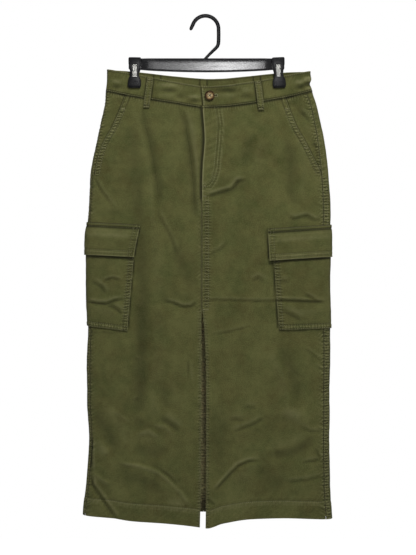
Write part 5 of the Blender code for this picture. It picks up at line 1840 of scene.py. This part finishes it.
button.rotation_euler = (math.radians(90), 0, 0)
button.location = BUTTON_CENTRE
finish_piece(button, make_horn(BUTTON_CENTRE), ["waist_button"])


# %% Sew it on, and work the keyhole buttonhole
def facing_frames(middles, angles):
    """Frames for stitches that lie in the plane of the front, at those headings."""
    heading = np.stack([np.cos(angles), 0 * angles, np.sin(angles)], axis=1)
    normal = np.tile([0.0, -1.0, 0.0], (len(angles), 1))
    return middles, heading, np.cross(normal, heading), normal


HOLE_EYE, EYE_RADIUS, HOLE_FROM, PURL_PITCH = (22.5, 157.0), 2.9, 4.0, 0.75
cross = np.array([BUTTON_CENTRE] * 2) - np.array([0, 1.0, 0]) * MM
purl = [(x, HOLE_EYE[1] + beside, math.pi / 2)
        for x in np.arange(HOLE_FROM, HOLE_EYE[0] - 2.0, PURL_PITCH) for beside in (-1.5, 1.5)]
purl += [(HOLE_EYE[0] + EYE_RADIUS * math.cos(a), HOLE_EYE[1] + EYE_RADIUS * math.sin(a), -a)
         for a in np.linspace(-2.5, 2.5, 18)]
x, level, angles = np.array(purl).T
purl_frames = facing_frames(on_piece(BANDS["front_left"], w_at(x, level, "front"), level), angles)
cross_frames = facing_frames(cross, np.radians([45, -45]))
dark_thread = make_thread("dark_thread", (0.02, 0.018, 0.008, 1.0), (0.06, 0.055, 0.025, 1.0))
repeat("button_thread", lay_stitches(cross_frames, 6.4, 1.3, 1.1), STITCH, dark_thread)
repeat("buttonhole_stitches", lay_stitches(purl_frames, 2.3, 0.8, 0.8), STITCH, thread)


# %% [markdown]
# ## The clip hanger
# A cheap moulded hanger: an I-section rail whose lower edge bows down, a hook of oval section, and
# two clips. All of it is glossy black plastic, which shows its shape by reflections alone, so
# every edge gets a small round. Each part starts as one primitive, shaped in edit mode.

# %% Plastic and steel
BLACK, SCUFFED_BLACK = (0.012, 0.012, 0.013, 1.0), (0.05, 0.05, 0.052, 1.0)


def make_plastic(name, roughness, scuffed, specular=0.5):
    material, shader, place = start_material(name, roughness, specular=specular)
    grain = place_group(MOULDING, Place=place)
    plug(mix_colour(grain["Scuff"], BLACK, SCUFFED_BLACK), shader["Base Color"])
    plug(scaled(grain["Scuff"], scuffed, roughness), shader["Roughness"])
    bump(shader, grain["Height"], 0.00006, 0.6)
    return material


def make_steel(name):
    """Spring strip, rolled with fine ribs across it."""
    material, shader, place = start_material(name, 0.32, metallic=1.0)
    ribs = calc("SINE", times(split(place)["Z"], 2 * math.pi / 0.0026))
    brushed = noise(place, 700.0, detail=3.0, stretch=(1.0, 1.0, 0.08))
    # The ribs are painted into the colour too: painted highlight on their crests and painted shade in their
    # troughs.
    tone = plus(times(ribs, 0.25), brushed, clamp=True)
    plug(mix_colour(tone, (0.26, 0.26, 0.24, 1.0), (0.62, 0.61, 0.58, 1.0)), shader["Base Color"])
    plug(scaled(brushed, 0.3, 0.2), shader["Roughness"])
    bump(shader, ribs, 0.0002, 0.8)
    return material


black_plastic = make_plastic("moulded_black_plastic", 0.13, 0.3)
clip_plastic = make_plastic("clip_black_plastic", 0.3, 0.2, specular=0.12)
spring_steel = make_steel("ribbed_spring_steel")

# %% The rail: a thin web with a flange along each edge
BAR_MIDDLE, BAR_HALF, BAR_TOP, BAR_FOOT = 3.0, 132.0, 84.0, 103.0
BAR_BELLY, BAR_DEPTH, FLANGE, WEB = 4.4, 8.0, 2.2, 2.6


def belly(x):
    """How far the rail's lower edge bows down at x."""
    return BAR_BELLY * (1 - ((x - BAR_MIDDLE) / BAR_HALF) ** 2)


def in_flange(c, n):
    return abs(n.y) > 0.9 and (c.z > -BAR_TOP - FLANGE or c.z < -BAR_FOOT + FLANGE - belly(c.x) + 0.3)


rail = start_box("hanger_rail", (BAR_MIDDLE - BAR_HALF, -WEB / 2, -BAR_FOOT),
                 (BAR_MIDDLE + BAR_HALF, WEB / 2, -BAR_TOP))
stations = BAR_MIDDLE + BAR_HALF * np.linspace(-1, 1, 17)[1:-1]
slice_at(0, stations)
slice_at(2, [-BAR_TOP - FLANGE, -BAR_FOOT + FLANGE])
for x in stations:
    select(rail, "VERT", lambda p, n: abs(p.x - x) < 0.1 and p.z < -BAR_FOOT + FLANGE + 0.1)
    shift(0, 0, -belly(x))
select(rail, "FACE", in_flange)
bpy.ops.mesh.extrude_region_shrink_fatten(TRANSFORM_OT_shrink_fatten={"value": (BAR_DEPTH - WEB) / 2 * MM})
soften(rail, 0.55)

# %% The end blocks, which the clips straddle
BLOCK_WIDTH, BLOCK_DEPTH, BLOCK_TOP, BLOCK_FOOT = 25.0, 10.0, 83.0, 103.5
blocks = []
for side, middle in CLIP_X.items():
    blocks.append(start_box(f"end_block_{side}", (middle - BLOCK_WIDTH / 2, -BLOCK_DEPTH / 2, -BLOCK_FOOT),
                            (middle + BLOCK_WIDTH / 2, BLOCK_DEPTH / 2, -BLOCK_TOP)))
    round_edges(1.2, 3)
join(blocks, rail)
finish_piece(rail, black_plastic, ["hanger_bar"])

# %% [markdown]
# The hook is one ring of an oval, spun round the rail's place for the arc and then extruded along
# the stem, with a turn at each step so that the section stays square to its path.

# %% The hook
HOOK_RADIUS, HOOK_THICKNESS, HOOK_OVAL, HOOK_X, HOOK_Z = 26.4, 7.6, 0.78, 0.7, -23.0
ARC_FROM = 160.0  # the arc runs from here at the tip's end to 0 at the stem's
STEM = [(27.3, -34.0, 1.0), (27.2, -46.0, 1.0), (26.6, -53.0, 0.98), (24.6, -58.0, 0.95), (21.0, -62.0, 0.9),
        (9.0, -73.6, 0.78), (-0.2, -83.2, 0.72), (-2.0, -86.4, 0.72)]
TIP = [(-26.2, -18.4, 0.96), (-28.2, -22.8, 0.86), (-29.0, -24.6, 0.62), (-29.4, -25.4, 0.3)]


def extrude_along(points, at, heading):
    """Extrude the selected ring through points (x, z, share of the full thickness)."""
    size = 1.0
    for x, z, share in points:
        step = (x - at[0], z - at[1])
        turned = math.atan2(step[1], step[0])
        bpy.ops.mesh.extrude_region_move(TRANSFORM_OT_translate={"value": (step[0] * MM, 0, step[1] * MM)})
        middle = (x * MM, 0, z * MM)
        bend = math.remainder(turned - heading, 2 * math.pi)
        bpy.ops.transform.rotate(value=bend, orient_axis="Y", center_override=middle)
        bpy.ops.transform.resize(value=(share / size,) * 3, center_override=middle)
        at, heading, size = (x, z), turned, share


def at_tip(p, n):
    return p.x < HOOK_X and p.z > HOOK_Z and abs(math.atan2(p.z - HOOK_Z, p.x - HOOK_X) - start) < 0.009


start = math.radians(ARC_FROM)
arc_end = (HOOK_X + HOOK_RADIUS * math.cos(start), HOOK_Z + HOOK_RADIUS * math.sin(start))
start_shape()
bpy.ops.mesh.primitive_circle_add(vertices=18, radius=HOOK_THICKNESS / 2 * MM, fill_type="NGON",
                                  location=(arc_end[0] * MM, 0, arc_end[1] * MM), rotation=(0, -start, 0))
bpy.context.object.scale.y = HOOK_OVAL
hook = edit("hook_moulding")
bpy.ops.mesh.spin(steps=30, angle=-start, axis=(0, 1, 0), center=(HOOK_X * MM, 0, HOOK_Z * MM))
extrude_along(STEM, (HOOK_X + HOOK_RADIUS, HOOK_Z), math.radians(-90))
select(hook, "VERT", at_tip)
extrude_along(TIP, arc_end, start + math.radians(90))
bpy.ops.mesh.select_all(action="SELECT")
bpy.ops.mesh.remove_doubles(threshold=0.00001)
bpy.ops.mesh.fill_holes(sides=0)
bpy.ops.mesh.select_all(action="SELECT")
bpy.ops.mesh.normals_make_consistent(inside=False)
finish_piece(hook, clip_plastic, ["hanger_hook"], angle=50)

# %% [markdown]
# A clip is two jaws and a steel strip that pulls them together. A jaw is narrow in its middle,
# where the strip passes through a window, and wide at its ridged pad. One jaw is shaped from a box
# by scaling its rows, and the other three are copies.

# %% Shape one jaw: the level, half width and outer face of each of its rows
JAW = [(81.0, 11.0, 8.8), (82.0, 12.1, 9.7), (84.5, 12.6, 10.3), (94.0, 12.3, 10.6), (99.0, 11.4, 10.7),
       (104.0, 10.2, 10.6), (109.0, 9.1, 10.4), (113.0, 8.7, 10.2), (117.0, 8.9, 9.9), (120.0, 9.8, 9.6),
       (123.0, 11.4, 9.3), (126.0, 12.5, 9.0), (132.0, 13.2, 8.6), (137.0, 13.2, 8.2), (140.0, 12.2, 7.7),
       (141.6, 10.4, 7.0)]
JAW_CROWN, PAD_TOP, PAD_BACK, BLOCK_CLEAR, LEAN_FROM = 0.9, 121.0, 4.1, 1.4, 106.5
WINDOW_WIDTH, WINDOW_TOP, WINDOW_FOOT = 9.4, 95.0, 120.5
JAW_START, JAW_HALF = 10.0, 10.0  # the outer face and half width that the box starts with


def move_row(level, test, y):
    """Move the jaw's points at a level that also pass a test."""
    select(jaw, "VERT", lambda p, n: abs(p.z + level) < 0.2 and test(p))
    shift(0, y, 0)


jaw = start_box("jaw", (-JAW_HALF, -JAW_START, -JAW[-1][0]), (JAW_HALF, -PAD_BACK, -JAW[0][0]))
slice_at(2, [-row[0] for row in JAW[1:-1]])
slice_at(0, [JAW_HALF * share for share in (-0.9, -0.7, -0.35, 0, 0.35, 0.7, 0.9)])
for level, half_width, outer in JAW:
    select(jaw, "VERT", lambda p, n: abs(p.z + level) < 0.2)
    bpy.ops.transform.resize(value=(half_width / JAW_HALF, 1, 1), center_override=(0, 0, 0))
    move_row(level, lambda p: p.y < -JAW_START + 0.1, JAW_START - outer)
    back = float(np.interp(level, [LEAN_FROM, PAD_TOP], [BLOCK_DEPTH / 2 + BLOCK_CLEAR, PAD_BACK]))
    move_row(level, lambda p: p.y > -PAD_BACK - 0.1, PAD_BACK - back)
for share in (0.7, 0.9, 1.0):
    for level, half_width, _ in JAW:
        move_row(level, lambda p: abs(abs(p.x) - share * half_width) < 0.2 and p.y < -6.6,
                 JAW_CROWN * share**4)

# the window: cut its outline, then bridge the outer face to the inner one
slice_at(0, [-WINDOW_WIDTH / 2, WINDOW_WIDTH / 2])
slice_at(2, [-WINDOW_TOP, -WINDOW_FOOT])
select(jaw, "FACE", lambda c, n: abs(n.y) > 0.7 and abs(c.x) < WINDOW_WIDTH / 2
       and -WINDOW_FOOT < c.z < -WINDOW_TOP)
bpy.ops.mesh.bridge_edge_loops()
soften(jaw, 0.8, 0.7)

# %% Ribs on its pad
ribs = []
for x in np.linspace(-9.0, 9.0, 7):
    ribs.append(start_box("rib", (x - 0.7, -9.3, -138.5), (x + 0.7, -7.0, -127.5)))
    round_edges(0.45, 2)
join(ribs, jaw)
print("jaw:", len(jaw.data.polygons), "faces with its ribs")

# %% Copy it to the four places, each clip hanging a little askew
CLIP_TILT, TILT_LEVEL = {"right": 0.8, "left": -2.6}, 84
for side, middle in CLIP_X.items():
    tilt = Matrix.Rotation(math.radians(CLIP_TILT[side]), 4, "Y")
    place = Matrix.Translation((middle * MM, 0, -TILT_LEVEL * MM)) @ tilt
    place = place @ Matrix.Translation((0, 0, TILT_LEVEL * MM))
    for face, turn in (("front", 0), ("back", math.pi)):
        copy = bpy.data.objects.new(f"jaw_{side}_{face}", jaw.data.copy())
        bpy.context.scene.collection.objects.link(copy)
        copy.matrix_world = place @ Matrix.Rotation(turn, 4, "Z")
        finish_piece(copy, clip_plastic, [f"clip_{side}_{face}_jaw"], angle=40)
bpy.data.objects.remove(jaw)

# %% Bend the steel strips
SPRING = [(7.8, 119.6), (8.0, 114.0), (7.9, 110.0), (7.7, 105.0), (7.3, 100.5), (6.4, 96.5), (6.1, 93.0),
          (6.1, 84.0), (5.4, 81.4), (3.6, 80.3)]
SPRING_WIDTH, SPRING_THICKNESS = 8.4, 0.7
path = [(-y, level) for y, level in SPRING] + SPRING[::-1]
for side, middle in CLIP_X.items():
    end = (middle * MM, 0, -path[0][1] * MM)
    start_shape()
    bpy.ops.mesh.primitive_plane_add(size=1.0, location=end)
    strip = edit(f"spring_{side}")
    bpy.ops.transform.resize(value=(SPRING_WIDTH * MM, 0, 1), center_override=end)
    shift(0, path[0][0], 0)
    bpy.ops.mesh.remove_doubles(threshold=0.00001)
    bpy.ops.mesh.select_mode(type="EDGE")
    bpy.ops.mesh.select_all(action="SELECT")
    for (y, level), (next_y, next_level) in zip(path[:-1], path[1:]):
        step = (0, (next_y - y) * MM, (level - next_level) * MM)
        bpy.ops.mesh.extrude_region_move(TRANSFORM_OT_translate={"value": step})
    apply_modifier(strip, "SOLIDIFY", thickness=SPRING_THICKNESS * MM, offset=-1.0)
    finish_piece(strip, spring_steel, [f"clip_{side}_spring"], angle=60)

# %% [markdown]
# ## Camera, light and floor
# The camera stands level with the middle of the skirt, square to it, so that the hem and the hook
# are seen at one scale. One soft light from above and a little to the right shapes the folds, and
# a pale sky fills the shadows. Black plastic shows what it mirrors, so it gets a few tall panels.

# %% Set up the camera and the lights
camera_data = bpy.data.cameras.new("camera")
camera_data.sensor_fit = "VERTICAL"
camera_data.angle = 2 * math.atan(0.555 / 2.2)
camera = bpy.data.objects.new("camera", camera_data)
camera.location = (0.006, -2.2, -0.52)
camera.rotation_euler = (math.radians(90), 0, 0)
bpy.context.scene.collection.objects.link(camera)
bpy.context.scene.camera = camera


def add_light(name, place, aim, size, power, in_gloss=False, in_diffuse=True):
    data = bpy.data.lights.new(name, "AREA")
    data.shape, data.size, data.size_y, data.energy = "RECTANGLE", size[0], size[1], power
    light = bpy.data.objects.new(name, data)
    light.location = place
    light.rotation_euler = (Vector(aim) - Vector(place)).to_track_quat("-Z", "Y").to_euler()
    light.visible_glossy, light.visible_diffuse = in_gloss, in_diffuse
    bpy.context.scene.collection.objects.link(light)


add_light("key", (0.45, -1.5, 1.25), (0, 0, -0.4), (0.6, 0.6), 43.0)
add_light("through_the_slit", (-0.02, -1.9, -0.3), (0, 0, -0.75), (0.12, 0.5), 2.4)
add_light("back_key", (-0.45, 1.5, 1.25), (0, 0, -0.4), (0.6, 0.6), 34.0)
# These three are only seen mirrored in the hanger's polished plastic.
for name, x, width, power in (("window", 0.08, 0.17, 13.0), ("wall", -0.17, 0.26, 2.8),
                              ("far_wall", 0.25, 0.14, 3.6)):
    add_light(name, (x, -2.2, 0.1), (x, 0, 0.1), (width, 1.0), power, in_gloss=True, in_diffuse=False)

# %% Set up the sky and the floor
world = bpy.data.worlds.new("studio")
world.use_nodes = True
bpy.context.scene.world = world
sky = world.node_tree.nodes["Background"].inputs
seen = world.node_tree.nodes.new("ShaderNodeLightPath")
plug((1, 1, 1, 1), sky["Color"])
plug(scaled(seen.outputs["Is Camera Ray"], 0.83, 0.17), sky["Strength"])
bpy.context.scene.view_settings.view_transform = "Standard"

start_shape()
bpy.ops.mesh.primitive_plane_add(size=8.0, location=(0, 0, -2.0))
floor = bpy.context.object
floor.name = floor.data.name = "studio_floor"
material, shader, place = start_material("pale_floor", 0.8)
cloudy = noise(place, 3.0, detail=3.0)
plug(mix_colour(cloudy, (0.86, 0.86, 0.86, 1.0), (0.92, 0.92, 0.92, 1.0)), shader["Base Color"])
seen = material.node_tree.nodes.new("ShaderNodeLightPath")
plug((1, 1, 1, 1), shader["Emission Color"])
plug(seen.outputs["Is Camera Ray"], shader["Emission Strength"])
floor.data.materials.append(material)
print("lights and floor are set")
